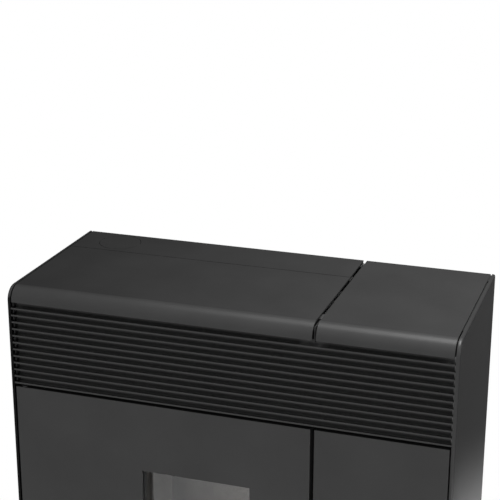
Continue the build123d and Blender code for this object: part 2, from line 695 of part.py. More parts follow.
with BuildPart() as top_rear_strip:
    bar(LEFT_X0, LEFT_X1, SEAM_Y + SEAM_GAP / 2, COVER_REAR_Y, COVER_UNDER, HEIGHT)
    bar(LEFT_X0, LEFT_X1, PANEL_Y, PANEL_Y + REAR_SHEET, HEIGHT - STRIP_FLANGE, COVER_UNDER)
    with BuildSketch(level(COVER_UNDER)):
        with Locations((FLUE_X, Y_REAR - KNOCKOUT_FROM_REAR)):
            Circle(KNOCKOUT_R)
            Circle(KNOCKOUT_R - KNOCKOUT_SLOT, mode=Mode.SUBTRACT)
            with PolarLocations(KNOCKOUT_R, KNOCKOUT_TABS):
                Rectangle(4 * KNOCKOUT_SLOT, KNOCKOUT_R * radians(KNOCKOUT_TAB_DEG), mode=Mode.SUBTRACT)
    extrude(amount=COVER_SHEET, mode=Mode.SUBTRACT)
save(top_rear_strip, "top_rear_strip")

PIPES = ((FLUE_X, FLUE_Z, FLUE_R), (INTAKE_X, INTAKE_Z, INTAKE_R))

with BuildPart() as rear_panel:
    with BuildSketch(facing(PANEL_Y)):
        spanning(-X_IN, X_IN, SIDE_BOTTOM, PANEL_TOP)
        for pipe_x, pipe_z, pipe_r in PIPES:
            with Locations((pipe_x, pipe_z)):
                Circle(pipe_r + PIPE_SLEEVE_GAP, mode=Mode.SUBTRACT)
        with Locations((INLET_X, INLET_Z)):
            Rectangle(INLET_WIDTH - 6, INLET_HEIGHT - 6, mode=Mode.SUBTRACT)
        with Locations((STAT_X, STAT_Z)):
            Circle(STAT_NECK_R + SEAT_GAP, mode=Mode.SUBTRACT)
        with Locations(((BLOWER_X0 + BLOWER_X1) / 2, BLOWER_Z)):
            with GridLocations(*VENT_PITCH, 6, 6):
                SlotOverall(*VENT_SLOT, mode=Mode.SUBTRACT)
        with Locations(((PARTITION_X1 + X_IN) / 2, HEIGHT - VENT_TOP_DROP)):
            with GridLocations(*VENT_PITCH, 4, 4):
                SlotOverall(*VENT_SLOT, mode=Mode.SUBTRACT)
    extrude(amount=REAR_SHEET)
save(rear_panel, "rear_panel")

# ---------------------------------------------------------------------------
# Louvre over the front
# ---------------------------------------------------------------------------

GRILLE_X = X_IN - 1.0
BLADE_BACK_Y = Y_FRONT + BLADE_RUN
BLADE_FALL = BLADE_RUN * sin(radians(BLADE_FALL_DEG)) / cos(radians(BLADE_FALL_DEG))
BLADE_TIP_Y = BLADE_BACK_Y + BLADE_RISE
BLADE_LEG = BLADE_SHEET / cos(radians(45))
GRILLE_TOP = RAIL_BOTTOM - GRILLE_HEADROOM

with BuildPart() as louvre_grille:
    for index in range(BLADE_COUNT):
        lip_top = HEIGHT - BLADE_TOP_DROP - index * BLADE_PITCH + BLADE_LIP / 2
        with BuildSketch(section(-GRILLE_X)) as blade:
            with BuildLine():
                knee = lip_top - BLADE_FALL
                Polyline((Y_FRONT, lip_top), (Y_FRONT, lip_top - BLADE_LIP),
                         (Y_FRONT + BLADE_SHEET, lip_top - BLADE_LIP),
                         (Y_FRONT + BLADE_SHEET, lip_top - BLADE_SHEET * 1.2),
                         (BLADE_BACK_Y, knee - BLADE_SHEET * 1.2),
                         (BLADE_TIP_Y, knee - BLADE_SHEET * 1.2 + BLADE_RISE),
                         (BLADE_TIP_Y, knee - BLADE_SHEET * 1.2 + BLADE_RISE + BLADE_LEG),
                         (BLADE_BACK_Y, knee - BLADE_SHEET * 1.2 + BLADE_LEG),
                         (Y_FRONT + BLADE_SHEET, lip_top), close=True)
            make_face()
        extrude(blade.sketch, amount=2 * GRILLE_X)
    for cheek_x in (-GRILLE_X, GRILLE_X - GRILLE_CHEEK):
        bar(cheek_x, cheek_x + GRILLE_CHEEK, Y_FRONT + GRILLE_SETBACK, POST_FRONT_Y, GRILLE_Z0, GRILLE_TOP)
    for rib in (-1, 0, 1):
        rib_x = rib * GRILLE_RIB_SPACING
        bar(rib_x - GRILLE_RIB / 2, rib_x + GRILLE_RIB / 2, BLADE_TIP_Y - BLADE_SHEET,
            BLADE_TIP_Y + GRILLE_RIB_DEPTH, GRILLE_Z0, HEIGHT - BLADE_TOP_DROP)
save(louvre_grille, "louvre_grille")

# ---------------------------------------------------------------------------
# Front panel of the hopper side
# ---------------------------------------------------------------------------

with BuildPart() as right_front_panel:
    folded_panel(RIGHT_X0, RIGHT_X1, DRAWER_BOTTOM, DOOR_TOP)
    for hook_x in (RIGHT_X0 + PANEL_SHEET, RIGHT_X1 - POST):
        for hook_z in (DRAWER_BOTTOM + HOOK_INSET, DOOR_TOP - HOOK_INSET - POST):
            bar(hook_x, hook_x + PARTITION_FLANGE - 8, Y_FRONT + PANEL_SHEET, POST_FRONT_Y,
                hook_z, hook_z + POST_SHEET)
            bar(hook_x, hook_x + PARTITION_FLANGE - 8, POST_FRONT_Y - POST_SHEET, POST_FRONT_Y,
                hook_z, hook_z + POST)
save(right_front_panel, "right_front_panel")

# ---------------------------------------------------------------------------
# Fire door
# ---------------------------------------------------------------------------

BUSH_BORE_R = PIN_R + RUNNING_GAP
BUSH_R = BUSH_BORE_R + BUSH_WALL
LATCH_BORE_R = SPINDLE_R + RUNNING_GAP

with BuildPart() as door_skin:
    folded_panel(LEFT_X0, LEFT_X1, DOOR_BOTTOM, DOOR_TOP)
    with BuildSketch(facing(Y_FRONT + PANEL_SHEET)):
        spanning(WINDOW_X0, WINDOW_X1, WINDOW_BOTTOM, WINDOW_TOP)
        with Locations((LATCH_X, LATCH_Z)):
            Circle(CUP_R)
    extrude(amount=PANEL_SHEET, mode=Mode.SUBTRACT)
    for bush_z in (DOOR_BOTTOM, DOOR_TOP - BUSH_LENGTH):
        rod((PIVOT_X, PIVOT_Y, bush_z), (PIVOT_X, PIVOT_Y, bush_z + BUSH_LENGTH), BUSH_R)
        rod((PIVOT_X, PIVOT_Y, bush_z), (PIVOT_X, PIVOT_Y, bush_z + BUSH_LENGTH), BUSH_BORE_R,
            mode=Mode.SUBTRACT)
    with BuildSketch(Plane(origin=(LATCH_X, Y_FRONT, LATCH_Z), x_dir=(1, 0, 0), z_dir=(0, 0, 1))) as cup:
        with BuildLine():
            FilletPolyline((CUP_R, PANEL_SHEET / 2), (CUP_R, CUP_DEPTH), (LATCH_BEARING_R, CUP_DEPTH),
                           radius=4)
            Polyline((LATCH_BEARING_R, CUP_DEPTH), (LATCH_BEARING_R, CUP_DEPTH + LATCH_BEARING_LENGTH),
                     (LATCH_BORE_R, CUP_DEPTH + LATCH_BEARING_LENGTH), (LATCH_BORE_R, CUP_DEPTH - CUP_SHEET))
            FilletPolyline((LATCH_BORE_R, CUP_DEPTH - CUP_SHEET), (CUP_R - CUP_SHEET, CUP_DEPTH - CUP_SHEET),
                           (CUP_R - CUP_SHEET, PANEL_SHEET / 2), radius=4 - CUP_SHEET)
            Line((CUP_R - CUP_SHEET, PANEL_SHEET / 2), (CUP_R, PANEL_SHEET / 2))
        make_face()
    revolve(cup.sketch, axis=Axis((LATCH_X, Y_FRONT, LATCH_Z), (0, 1, 0)))
save(door_skin, "door_skin")

with BuildPart() as door_frame:
    with BuildSketch(facing(FRAME_Y1)):
        spanning(FRAME_X0, FRAME_X1, FRAME_Z0, FRAME_Z1)
        spanning(WINDOW_X0 - FRAME_REVEAL, WINDOW_X1 + FRAME_REVEAL,
                 WINDOW_BOTTOM - FRAME_REVEAL, WINDOW_TOP + FRAME_REVEAL, mode=Mode.SUBTRACT)
    extrude(amount=FRAME_THICK)
    with BuildSketch(facing(FRAME_Y1 + CHANNEL_DEPTH)):
        spanning(FRAME_X0, FRAME_X1, FRAME_Z0, FRAME_Z1)
        with Locations(FRAME_MID):
            for inset, mode in ((CHANNEL_WALL, Mode.SUBTRACT), (CHANNEL_WALL + CHANNEL_WIDTH, Mode.ADD),
                                (2 * CHANNEL_WALL + CHANNEL_WIDTH, Mode.SUBTRACT)):
                bend = ROPE_BEND + ROPE_INSET - inset
                RectangleRounded(FRAME_WIDTH - 2 * inset, FRAME_HEIGHT - 2 * inset, bend, mode=mode)
    extrude(amount=CHANNEL_DEPTH)
    with BuildSketch(facing(FRAME_Y0)):
        with Locations(FRAME_MID):
            with GridLocations(FRAME_WIDTH - 40, (FRAME_HEIGHT - 44) / 2, 2, 3):
                Circle(STANDOFF_R + 3)
    extrude(amount=FRAME_SETBACK - PANEL_SHEET)
save(door_frame, "door_frame")

with BuildPart() as door_glass:
    bar(WINDOW_X0 - GLASS_LAP, WINDOW_X1 + GLASS_LAP, GLASS_Y0, GLASS_Y1,
        WINDOW_BOTTOM - GLASS_LAP, WINDOW_TOP + GLASS_LAP)
    chamfer(door_glass.edges(), 0.6)
save(door_glass, "door_glass")

with BuildPart() as glass_tape:
    with BuildSketch(facing(GLASS_Y0)):
        spanning(WINDOW_X0 - GLASS_LAP, WINDOW_X1 + GLASS_LAP,
                 WINDOW_BOTTOM - GLASS_LAP, WINDOW_TOP + GLASS_LAP)
        lap = GLASS_LAP - TAPE_WIDTH
        spanning(WINDOW_X0 - lap, WINDOW_X1 + lap, WINDOW_BOTTOM - lap, WINDOW_TOP + lap,
                 mode=Mode.SUBTRACT)
    extrude(amount=TAPE_THICK)
save(glass_tape, "glass_tape")

with BuildSketch(facing(ROPE_Y)) as rope_outline:
    with Locations(FRAME_MID):
        RectangleRounded(FRAME_WIDTH - 2 * ROPE_INSET, FRAME_HEIGHT - 2 * ROPE_INSET, ROPE_BEND)
ROPE_LOOP = rope_outline.sketch.faces()[0].outer_wire()

with BuildPart() as door_rope_gasket:
    with BuildSketch(Plane(origin=ROPE_LOOP @ 0, z_dir=ROPE_LOOP % 0)) as rope_section:
        RegularPolygon(ROPE_R, 10)
    sweep(rope_section.sketch, path=ROPE_LOOP)
save(door_rope_gasket, "door_rope_gasket")

CLIP_Y = GLASS_Y1 + SEAT_GAP

with BuildPart() as glass_clips:
    for clip_z in (WINDOW_BOTTOM + 60, (WINDOW_BOTTOM + WINDOW_TOP) / 2, WINDOW_TOP - 60):
        for edge_x, turn in ((WINDOW_X0 - GLASS_LAP, -1), (WINDOW_X1 + GLASS_LAP, 1)):
            z0 = clip_z - CLIP_WIDTH / 2
            z1 = clip_z + CLIP_WIDTH / 2
            foot = sorted((edge_x + turn * SEAT_GAP, edge_x + turn * CLIP_FOOT))
            reach = sorted((edge_x - turn * CLIP_LAP, edge_x + turn * CLIP_FOOT))
            bar(*foot, FRAME_Y1, CLIP_Y, z0, z1)
            bar(*reach, CLIP_Y, CLIP_Y + CLIP_SHEET, z0, z1)
save(glass_clips, "glass_clips")

UPPER_PLATE_Z = DOOR_TOP + (GRILLE_Z0 - DOOR_TOP - HINGE_PLATE) / 2
LOWER_PLATE_Z = DRAWER_TOP + (DRAWER_GAP - HINGE_PLATE) / 2

with BuildPart() as door_hinge_plates:
    for plate_z, tab_z in ((UPPER_PLATE_Z, UPPER_PLATE_Z), (LOWER_PLATE_Z, LOWER_PLATE_Z - HINGE_TAB)):
        with BuildSketch(level(plate_z)) as arm:
            with Locations((PIVOT_X, PIVOT_Y)):
                Circle(DOOR_PIVOT_BACK - 0.5)
            spanning(PIVOT_X - DOOR_PIVOT_BACK + 0.5, PIVOT_X + DOOR_PIVOT_BACK - 0.5, PIVOT_Y,
                     POST_FRONT_Y)
            spanning(-CHASSIS_X + 3, -CHASSIS_X + 3 + HINGE_ARM_WIDTH - 8, POST_FRONT_Y - 12, POST_FRONT_Y)
        extrude(arm.sketch, amount=HINGE_PLATE)
        bar(-CHASSIS_X + 3, -CHASSIS_X + 3 + HINGE_ARM_WIDTH - 8, POST_FRONT_Y - HINGE_PLATE, POST_FRONT_Y,
            tab_z, tab_z + HINGE_TAB + HINGE_PLATE)
    rod((PIVOT_X, PIVOT_Y, DOOR_TOP - BUSH_LENGTH), (PIVOT_X, PIVOT_Y, UPPER_PLATE_Z + HINGE_PLATE), PIN_R)
    rod((PIVOT_X, PIVOT_Y, LOWER_PLATE_Z), (PIVOT_X, PIVOT_Y, DOOR_BOTTOM + BUSH_LENGTH), PIN_R)
save(door_hinge_plates, "door_hinge_plates")

# ---------------------------------------------------------------------------
# Door latch
# ---------------------------------------------------------------------------

TONGUE_Y0 = Y_FRONT + CUP_DEPTH + LATCH_BEARING_LENGTH + SEAT_GAP + KEEPER_SHEET + KEEPER_LEAD
KNOB_Y0 = Y_FRONT + 1.0

with BuildPart() as latch_knob:
    with BuildSketch(facing(KNOB_Y0 + KNOB_DEPTH)):
        with Locations((LATCH_X, LATCH_Z)):
            SlotOverall(KNOB_LENGTH, KNOB_WIDTH, rotation=90)
    extrude(amount=KNOB_DEPTH)
    fillet(latch_knob.faces().sort_by(Axis.Y)[0].edges(), 2)
    rod((LATCH_X, KNOB_Y0 + KNOB_DEPTH, LATCH_Z), (LATCH_X, TONGUE_Y0 + TONGUE_SHEET, LATCH_Z), SPINDLE_R)
save(latch_knob, "latch_knob")

with BuildPart() as latch_tongue:
    with BuildSketch(facing(TONGUE_Y0 + TONGUE_SHEET)):
        with Locations((LATCH_X, LATCH_Z)):
            Circle(TONGUE_WIDTH / 2 + 2)
        spanning(LATCH_X - TONGUE_WIDTH / 2, LATCH_X + TONGUE_WIDTH / 2, LATCH_Z - TONGUE_LENGTH, LATCH_Z)
        with Locations((LATCH_X, LATCH_Z)):
            Circle(SPINDLE_R, mode=Mode.SUBTRACT)
    extrude(amount=TONGUE_SHEET)
save(latch_tongue, "latch_tongue")

KEEPER_Y1 = TONGUE_Y0 - KEEPER_LEAD

with BuildPart() as latch_keeper:
    bar(LATCH_X + TONGUE_LENGTH / 2 + 4, PARTITION_X0, KEEPER_Y1 - KEEPER_SHEET, KEEPER_Y1,
        LATCH_Z - KEEPER_HEIGHT / 2, LATCH_Z + KEEPER_HEIGHT / 2)
    bar(PARTITION_X0 - KEEPER_SHEET, PARTITION_X0, KEEPER_Y1, POST_FRONT_Y + 24,
        LATCH_Z - KEEPER_HEIGHT / 2, LATCH_Z + KEEPER_HEIGHT / 2)
save(latch_keeper, "latch_keeper")

# ---------------------------------------------------------------------------
# Hopper lid
# ---------------------------------------------------------------------------

with BuildPart() as hopper_lid:
    with BuildSketch(section(RIGHT_X0)):
        cover_profile(COVER_REAR_Y)
    extrude(amount=RIGHT_X1 - RIGHT_X0)
    for lug_x in LID_LUG_X:
        with BuildSketch(section(lug_x - LID_LUG_WIDTH / 2)) as lug:
            with Locations((LID_AXIS_Y, LID_AXIS_Z)):
                Circle(LID_LUG_R)
            spanning(LID_AXIS_Y - LID_LUG_R, LID_AXIS_Y + LID_LUG_R, LID_AXIS_Z, COVER_UNDER)
            with Locations((LID_AXIS_Y, LID_AXIS_Z)):
                Circle(BUSH_BORE_R, mode=Mode.SUBTRACT)
        extrude(lug.sketch, amount=LID_LUG_WIDTH)
save(hopper_lid, "hopper_lid")

with BuildPart() as lid_gasket:
    with BuildSketch(level(COVER_UNDER - GASKET_HEIGHT)):
        spanning(HOPPER_X0 - HOPPER_RIM, HOPPER_X1 + HOPPER_RIM,
                 HOPPER_Y0 - HOPPER_RIM, HOPPER_Y1 + HOPPER_RIM)
        spanning(HOPPER_X0, HOPPER_X1, HOPPER_Y0, HOPPER_Y1, mode=Mode.SUBTRACT)
    extrude(amount=GASKET_HEIGHT)
save(lid_gasket, "lid_gasket")

with BuildPart() as lid_hinge_brackets:
    for lug_x in LID_LUG_X:
        reach = LID_LUG_WIDTH / 2 + LID_EAR_GAP
        bar(lug_x - reach - LID_EAR, lug_x + reach + LID_EAR, REAR_LEG_Y + 2, REAR_LEG_Y + POST,
            LID_RAIL_TOP, LID_RAIL_TOP + LID_EAR)
        for ear_x in (lug_x - reach - LID_EAR, lug_x + reach):
            with BuildSketch(section(ear_x)) as ear:
                with Locations((LID_AXIS_Y, LID_AXIS_Z)):
                    Circle(LID_LUG_R)
                spanning(LID_AXIS_Y - LID_LUG_R, LID_AXIS_Y + LID_LUG_R, LID_RAIL_TOP, LID_AXIS_Z)
                with Locations((LID_AXIS_Y, LID_AXIS_Z)):
                    Circle(PIN_R, mode=Mode.SUBTRACT)
            extrude(ear.sketch, amount=LID_EAR)
save(lid_hinge_brackets, "lid_hinge_brackets")

with BuildPart() as lid_hinge_pins:
    for lug_x in LID_LUG_X:
        reach = LID_LUG_WIDTH / 2 + LID_EAR_GAP + LID_EAR + 1
        rod((lug_x - reach, LID_AXIS_Y, LID_AXIS_Z), (lug_x + reach, LID_AXIS_Y, LID_AXIS_Z), PIN_R)
save(lid_hinge_pins, "lid_hinge_pins")

# ---------------------------------------------------------------------------
# Firebox
# ---------------------------------------------------------------------------

TUBE_PITCH_X = (BOX_X1 - BOX_X0 - 2 * TUBE_MARGIN) / TUBE_COLUMNS
TUBE_PLACES = [
    (POT_X + (column - (TUBE_COLUMNS - 1) / 2) * TUBE_PITCH_X, FIREBOX_TOP - drop)
    for drop in TUBE_ROW_DROPS for column in range(TUBE_COLUMNS)
]
DOORWAY_TOP = HEIGHT - DOORWAY_TOP_DROP
CRADLE_HALF = POT_TOP_HALF + CRADLE_GAP
ASH_SLOT = (120.0, 44.0)
CHUTE_X1 = OUTLET_X + OUTLET_HALF + CHUTE_SHEET
CHUTE_X0 = OUTLET_X - OUTLET_HALF - CHUTE_SHEET
CHUTE_FALL = sin(radians(CHUTE_SLOPE)) / cos(radians(CHUTE_SLOPE))


def chute_floor(x):
    """Height of the chute's outer floor over a place along X."""
    return OUTLET_Z - CHUTE_HEIGHT / 2 - (CHUTE_X1 - x) * CHUTE_FALL


CHUTE_PORT = (chute_floor(ROOM_X1) - 3, chute_floor(FIREBOX_X1) + CHUTE_HEIGHT + 24)
CHUTE_Y0 = AUGER_Y - OUTLET_HALF - CHUTE_SHEET
CHUTE_Y1 = AUGER_Y + OUTLET_HALF + CHUTE_SHEET

with BuildPart() as firebox_shell:
    bar(FIREBOX_X0, FIREBOX_X1, FIREBOX_FACE_Y, FIREBOX_BACK_Y, FIREBOX_FLOOR, FIREBOX_TOP)
    bar(BOX_X0, BOX_X1, FIREBOX_FACE_Y + FIREBOX_STEEL, BOX_BACK, BOX_FLOOR, FIREBOX_TOP - FIREBOX_STEEL,
        mode=Mode.SUBTRACT)
    bar(FIREBOX_X0 - FIREBOX_FLANGE, FIREBOX_X1 + FIREBOX_FLANGE, FIREBOX_FACE_Y,
        FIREBOX_FACE_Y + FIREBOX_STEEL, FRAME_Z0 - 6, FRAME_Z1 + 6)
    with BuildSketch(facing(FIREBOX_FACE_Y)):
        spanning(BOX_X0 + DOORWAY_X_INSET, BOX_X1 - DOORWAY_X_INSET, DOORWAY_BOTTOM, DOORWAY_TOP)
    extrude(amount=-FIREBOX_STEEL, mode=Mode.SUBTRACT)
    with BuildSketch(facing(FIREBOX_BACK_Y)):
        with Locations(*TUBE_PLACES):
            Circle(TUBE_R + RUNNING_GAP)
    extrude(amount=FIREBOX_BACK_Y - FIREBOX_FACE_Y, mode=Mode.SUBTRACT)
    with BuildSketch(facing(FIREBOX_BACK_Y)):
        with Locations((POT_X, IGNITER_Z)):
            Circle(IGNITER_R + RUNNING_GAP)
        with Locations((INTAKE_X, INTAKE_Z)):
            Circle(INTAKE_R - INTAKE_WALL)
    extrude(amount=FIREBOX_STEEL, mode=Mode.SUBTRACT)
    with BuildSketch(section(FIREBOX_X0)):
        spanning(DUCT_PORT_Y0, DUCT_PORT_Y1, DUCT_PORT_Z0, DUCT_PORT_Z1)
    extrude(amount=FIREBOX_STEEL, mode=Mode.SUBTRACT)
    with BuildSketch(section(BOX_X1)):
        spanning(CHUTE_Y0 - SEAT_GAP, CHUTE_Y1 + SEAT_GAP, *CHUTE_PORT)
    extrude(amount=FIREBOX_STEEL, mode=Mode.SUBTRACT)
    with BuildSketch(level(FIREBOX_FLOOR)):
        for slot_x in ((POT_X - CRADLE_HALF + ROOM_X0) / 2, (POT_X + CRADLE_HALF + ROOM_X1) / 2):
            with Locations((slot_x, POT_Y)):
                SlotOverall(*ASH_SLOT, rotation=90)
    extrude(amount=FIREBOX_STEEL, mode=Mode.SUBTRACT)
save(firebox_shell, "firebox_shell")

with BuildPart() as pot_cradle:
    with BuildSketch(level(BOX_FLOOR)):
        with Locations((POT_X, POT_Y)):
            Rectangle(2 * (CRADLE_HALF + CRADLE_WALL), 2 * (CRADLE_HALF + CRADLE_WALL))
            Rectangle(2 * CRADLE_HALF, 2 * CRADLE_HALF, mode=Mode.SUBTRACT)
    extrude(amount=POT_FLANGE_Z - BOX_FLOOR)
    rod((POT_X, POT_Y, IGNITER_Z), (POT_X, POT_Y + CRADLE_HALF + CRADLE_WALL + 1, IGNITER_Z),
        IGNITER_R + RUNNING_GAP, mode=Mode.SUBTRACT)
save(pot_cradle, "pot_cradle")

with BuildPart() as firebrick_left:
    bar(BOX_X0, ROOM_X0, FIREBOX_FACE_Y + FIREBOX_STEEL, BOX_BACK, BOX_FLOOR, BOARD_TOP)
save(firebrick_left, "firebrick_left")

with BuildPart() as firebrick_right:
    bar(ROOM_X1, BOX_X1, FIREBOX_FACE_Y + FIREBOX_STEEL, BOX_BACK, BOX_FLOOR, BOARD_TOP)
    bar(ROOM_X1, BOX_X1, CHUTE_Y0 - SEAT_GAP, CHUTE_Y1 + SEAT_GAP, *CHUTE_PORT, mode=Mode.SUBTRACT)
save(firebrick_right, "firebrick_right")

with BuildPart() as firebrick_back:
    bar(ROOM_X0, ROOM_X1, ROOM_BACK, BOX_BACK, BOX_FLOOR, BOARD_TOP)
    rod((POT_X, ROOM_BACK, IGNITER_Z), (POT_X, BOX_BACK, IGNITER_Z), IGNITER_R + RUNNING_GAP,
        mode=Mode.SUBTRACT)
    rod((INTAKE_X - 16, ROOM_BACK, INTAKE_Z), (INTAKE_X - 16, BOX_BACK, INTAKE_Z),
        INTAKE_R - INTAKE_WALL - 12, mode=Mode.SUBTRACT)
save(firebrick_back, "firebrick_back")

with BuildPart() as baffle_plate:
    bar(BOX_X0, BOX_X1, FIREBOX_FACE_Y + FIREBOX_STEEL + BAFFLE_GAP, BOX_BACK, BOARD_TOP, BOARD_TOP + BOARD)
    chamfer(baffle_plate.edges().filter_by(Axis.X).group_by(Axis.Y)[0], 4)
save(baffle_plate, "baffle_plate")

with BuildPart() as exchanger_tubes:
    with BuildSketch(facing(FIREBOX_BACK_Y + TUBE_END)):
        with Locations(*TUBE_PLACES):
            Circle(TUBE_R)
            Circle(TUBE_R - TUBE_WALL, mode=Mode.SUBTRACT)
    extrude(amount=FIREBOX_BACK_Y - FIREBOX_FACE_Y + TUBE_END)
save(exchanger_tubes, "exchanger_tubes")

POT_DRAFT = degrees(atan2(POT_TOP_HALF - POT_BOTTOM_HALF, POT_TOP - POT_BOTTOM))

with BuildPart() as burn_pot:
    with BuildSketch(level(POT_BOTTOM)):
        with Locations((POT_X, POT_Y)):
            RectangleRounded(2 * POT_BOTTOM_HALF, 2 * POT_BOTTOM_HALF, POT_CORNER_R)
    extrude(amount=POT_TOP - POT_BOTTOM, taper=-POT_DRAFT)
    with BuildSketch(level(POT_FLANGE_Z)):
        with Locations((POT_X, POT_Y)):
            RectangleRounded(2 * POT_FLANGE_HALF, 2 * POT_FLANGE_HALF, 6)
    extrude(amount=POT_FLANGE_THICK)
    with BuildSketch(level(POT_BOTTOM + POT_WALL)):
        with Locations((POT_X, POT_Y)):
            inner = 2 * (POT_BOTTOM_HALF - POT_WALL)
            RectangleRounded(inner, inner, POT_CORNER_R - POT_WALL / 2)
    extrude(amount=POT_TOP - POT_BOTTOM - POT_WALL, taper=-POT_DRAFT, mode=Mode.SUBTRACT)
    with BuildSketch(level(POT_BOTTOM)):
        with Locations((POT_X, POT_Y)):
            with GridLocations(16, 16, 4, 4):
                RegularPolygon(POT_HOLE_R, 8)
    extrude(amount=POT_WALL, mode=Mode.SUBTRACT)
    rod((POT_X, POT_Y, IGNITER_Z), (POT_X, POT_Y + POT_TOP_HALF, IGNITER_Z), IGNITER_R + 1,
        mode=Mode.SUBTRACT)
save(burn_pot, "burn_pot")

with BuildPart() as igniter:
    tip_y = POT_Y + POT_BOTTOM_HALF + 1
    rod((POT_X, tip_y, IGNITER_Z), (POT_X, tip_y + IGNITER_LENGTH, IGNITER_Z), IGNITER_R)
    rod((POT_X, FIREBOX_BACK_Y, IGNITER_Z), (POT_X, FIREBOX_BACK_Y + 5, IGNITER_Z), IGNITER_R + 6)
    rod((POT_X, tip_y, IGNITER_Z), (POT_X, tip_y + 20, IGNITER_Z), IGNITER_R - 3, mode=Mode.SUBTRACT)
save(igniter, "igniter")

# ---------------------------------------------------------------------------
# Smoke duct, exhaust fan and the two pipes at the back
# ---------------------------------------------------------------------------

with BuildPart() as smoke_duct:
    bar(DUCT_X0, FIREBOX_X0, DUCT_Y0, DUCT_Y1, DUCT_Z0, DUCT_Z1)
    bar(DUCT_X0 + DUCT_SHEET, FIREBOX_X0 - DUCT_SHEET, DUCT_Y0 + DUCT_SHEET, DUCT_Y1 - DUCT_SHEET,
        DUCT_Z0 + DUCT_SHEET, DUCT_Z1 - DUCT_SHEET, mode=Mode.SUBTRACT)
    bar(FIREBOX_X0 - DUCT_SHEET, FIREBOX_X0, DUCT_PORT_Y0, DUCT_PORT_Y1, DUCT_PORT_Z0, DUCT_PORT_Z1,
        mode=Mode.SUBTRACT)
    rod((DUCT_X0, FAN_Y, FAN_Z), (DUCT_X0 + DUCT_SHEET, FAN_Y, FAN_Z), FAN_EYE_R, mode=Mode.SUBTRACT)
    for leg_y in (DUCT_Y0, DUCT_Y1 - POST):
        bar(DUCT_X0, DUCT_X0 + 2, leg_y, leg_y + POST, BASE_TOP, DUCT_Z0)
        bar(FIREBOX_X0 - 2, FIREBOX_X0, leg_y, leg_y + POST, BASE_TOP, DUCT_Z0)
save(smoke_duct, "smoke_duct")


def volute(growth):
    """Spiral casing of the exhaust fan in the current sketch: three quarter arcs and an outlet."""
    r1 = VOLUTE_R + growth
    r2 = r1 + FAN_STEP
    r3 = r2 + FAN_STEP
    top = FAN_Z + FAN_STEP + r3
    mouth = FAN_TOP - FAN_OUTLET_H - growth
    with BuildLine() as spiral:
        CenterArc((FAN_Y, FAN_Z), r1, 0, -90)
        CenterArc((FAN_Y, FAN_Z + FAN_STEP), r2, -90, -90)
        CenterArc((FAN_Y + FAN_STEP, FAN_Z + FAN_STEP), r3, 180, -90)
        Polyline((FAN_Y + FAN_STEP, top), (FAN_OUTLET_Y, top), (FAN_OUTLET_Y, mouth),
                 (FAN_Y + r1, mouth), (FAN_Y + r1, FAN_Z))
    make_face(spiral.line)


with BuildPart() as exhaust_fan_housing:
    with BuildSketch(section(FAN_X0)) as casing:
        volute(0)
    extrude(casing.sketch, amount=FAN_WIDTH)
    with BuildSketch(section(FAN_X0 + FAN_WALL)) as hollow:
        volute(-FAN_WALL)
    extrude(hollow.sketch, amount=FAN_WIDTH - 2 * FAN_WALL, mode=Mode.SUBTRACT)
    rod((FAN_X1 - FAN_WALL, FAN_Y, FAN_Z), (FAN_X1, FAN_Y, FAN_Z), FAN_EYE_R, mode=Mode.SUBTRACT)
    rod((FAN_X0, FAN_Y, FAN_Z), (FAN_X0 + FAN_WALL, FAN_Y, FAN_Z), FAN_SHAFT_R + 2, mode=Mode.SUBTRACT)
save(exhaust_fan_housing, "exhaust_fan_housing")

IMPELLER_X0 = FAN_X0 + FAN_WALL + 5
IMPELLER_X1 = FAN_X1 - FAN_WALL - 8
BLADE_INNER_R = 24.0

with BuildPart() as exhaust_impeller:
    rod((IMPELLER_X0, FAN_Y, FAN_Z), (IMPELLER_X0 + FAN_BLADE_SHEET, FAN_Y, FAN_Z), FAN_R)
    rod((IMPELLER_X0, FAN_Y, FAN_Z), (IMPELLER_X0 + 24, FAN_Y, FAN_Z), FAN_HUB_R)
    with BuildSketch(section(IMPELLER_X0 + FAN_BLADE_SHEET)) as paddles:
        with Locations((FAN_Y, FAN_Z)):
            with PolarLocations((FAN_R + BLADE_INNER_R) / 2, FAN_BLADES):
                Rectangle(FAN_R - BLADE_INNER_R - 1, FAN_BLADE_SHEET, rotation=12)
    extrude(paddles.sketch, amount=IMPELLER_X1 - IMPELLER_X0 - FAN_BLADE_SHEET)
    rod((FAN_X0 - FAN_MOTOR_LENGTH / 2, FAN_Y, FAN_Z), (IMPELLER_X0, FAN_Y, FAN_Z), FAN_SHAFT_R)
save(exhaust_impeller, "exhaust_impeller")

with BuildPart() as exhaust_fan_motor:
    rod((FAN_X0 - FAN_MOTOR_LENGTH, FAN_Y, FAN_Z), (FAN_X0, FAN_Y, FAN_Z), FAN_MOTOR_R)
    chamfer(exhaust_fan_motor.faces().sort_by(Axis.X)[0].edges(), 5)
    rod((FAN_X0 - FAN_MOTOR_LENGTH / 2 - 1, FAN_Y, FAN_Z), (FAN_X0, FAN_Y, FAN_Z),
        FAN_SHAFT_R + RUNNING_GAP, mode=Mode.SUBTRACT)
save(exhaust_fan_motor, "exhaust_fan_motor")

with BuildPart() as flue_outlet:
    with BuildSketch(facing(FAN_OUTLET_Y + FLUE_FLANGE_THICK)):
        with Locations((FLUE_X, FLUE_Z)):
            RectangleRounded(FLUE_FLANGE, FLUE_FLANGE, 6)
    extrude(amount=FLUE_FLANGE_THICK)
    rod((FLUE_X, FAN_OUTLET_Y, FLUE_Z), (FLUE_X, PIPE_END_Y, FLUE_Z), FLUE_R)
    rod((FLUE_X, FAN_OUTLET_Y, FLUE_Z), (FLUE_X, PIPE_END_Y, FLUE_Z), FLUE_R - FLUE_WALL, mode=Mode.SUBTRACT)
save(flue_outlet, "flue_outlet")

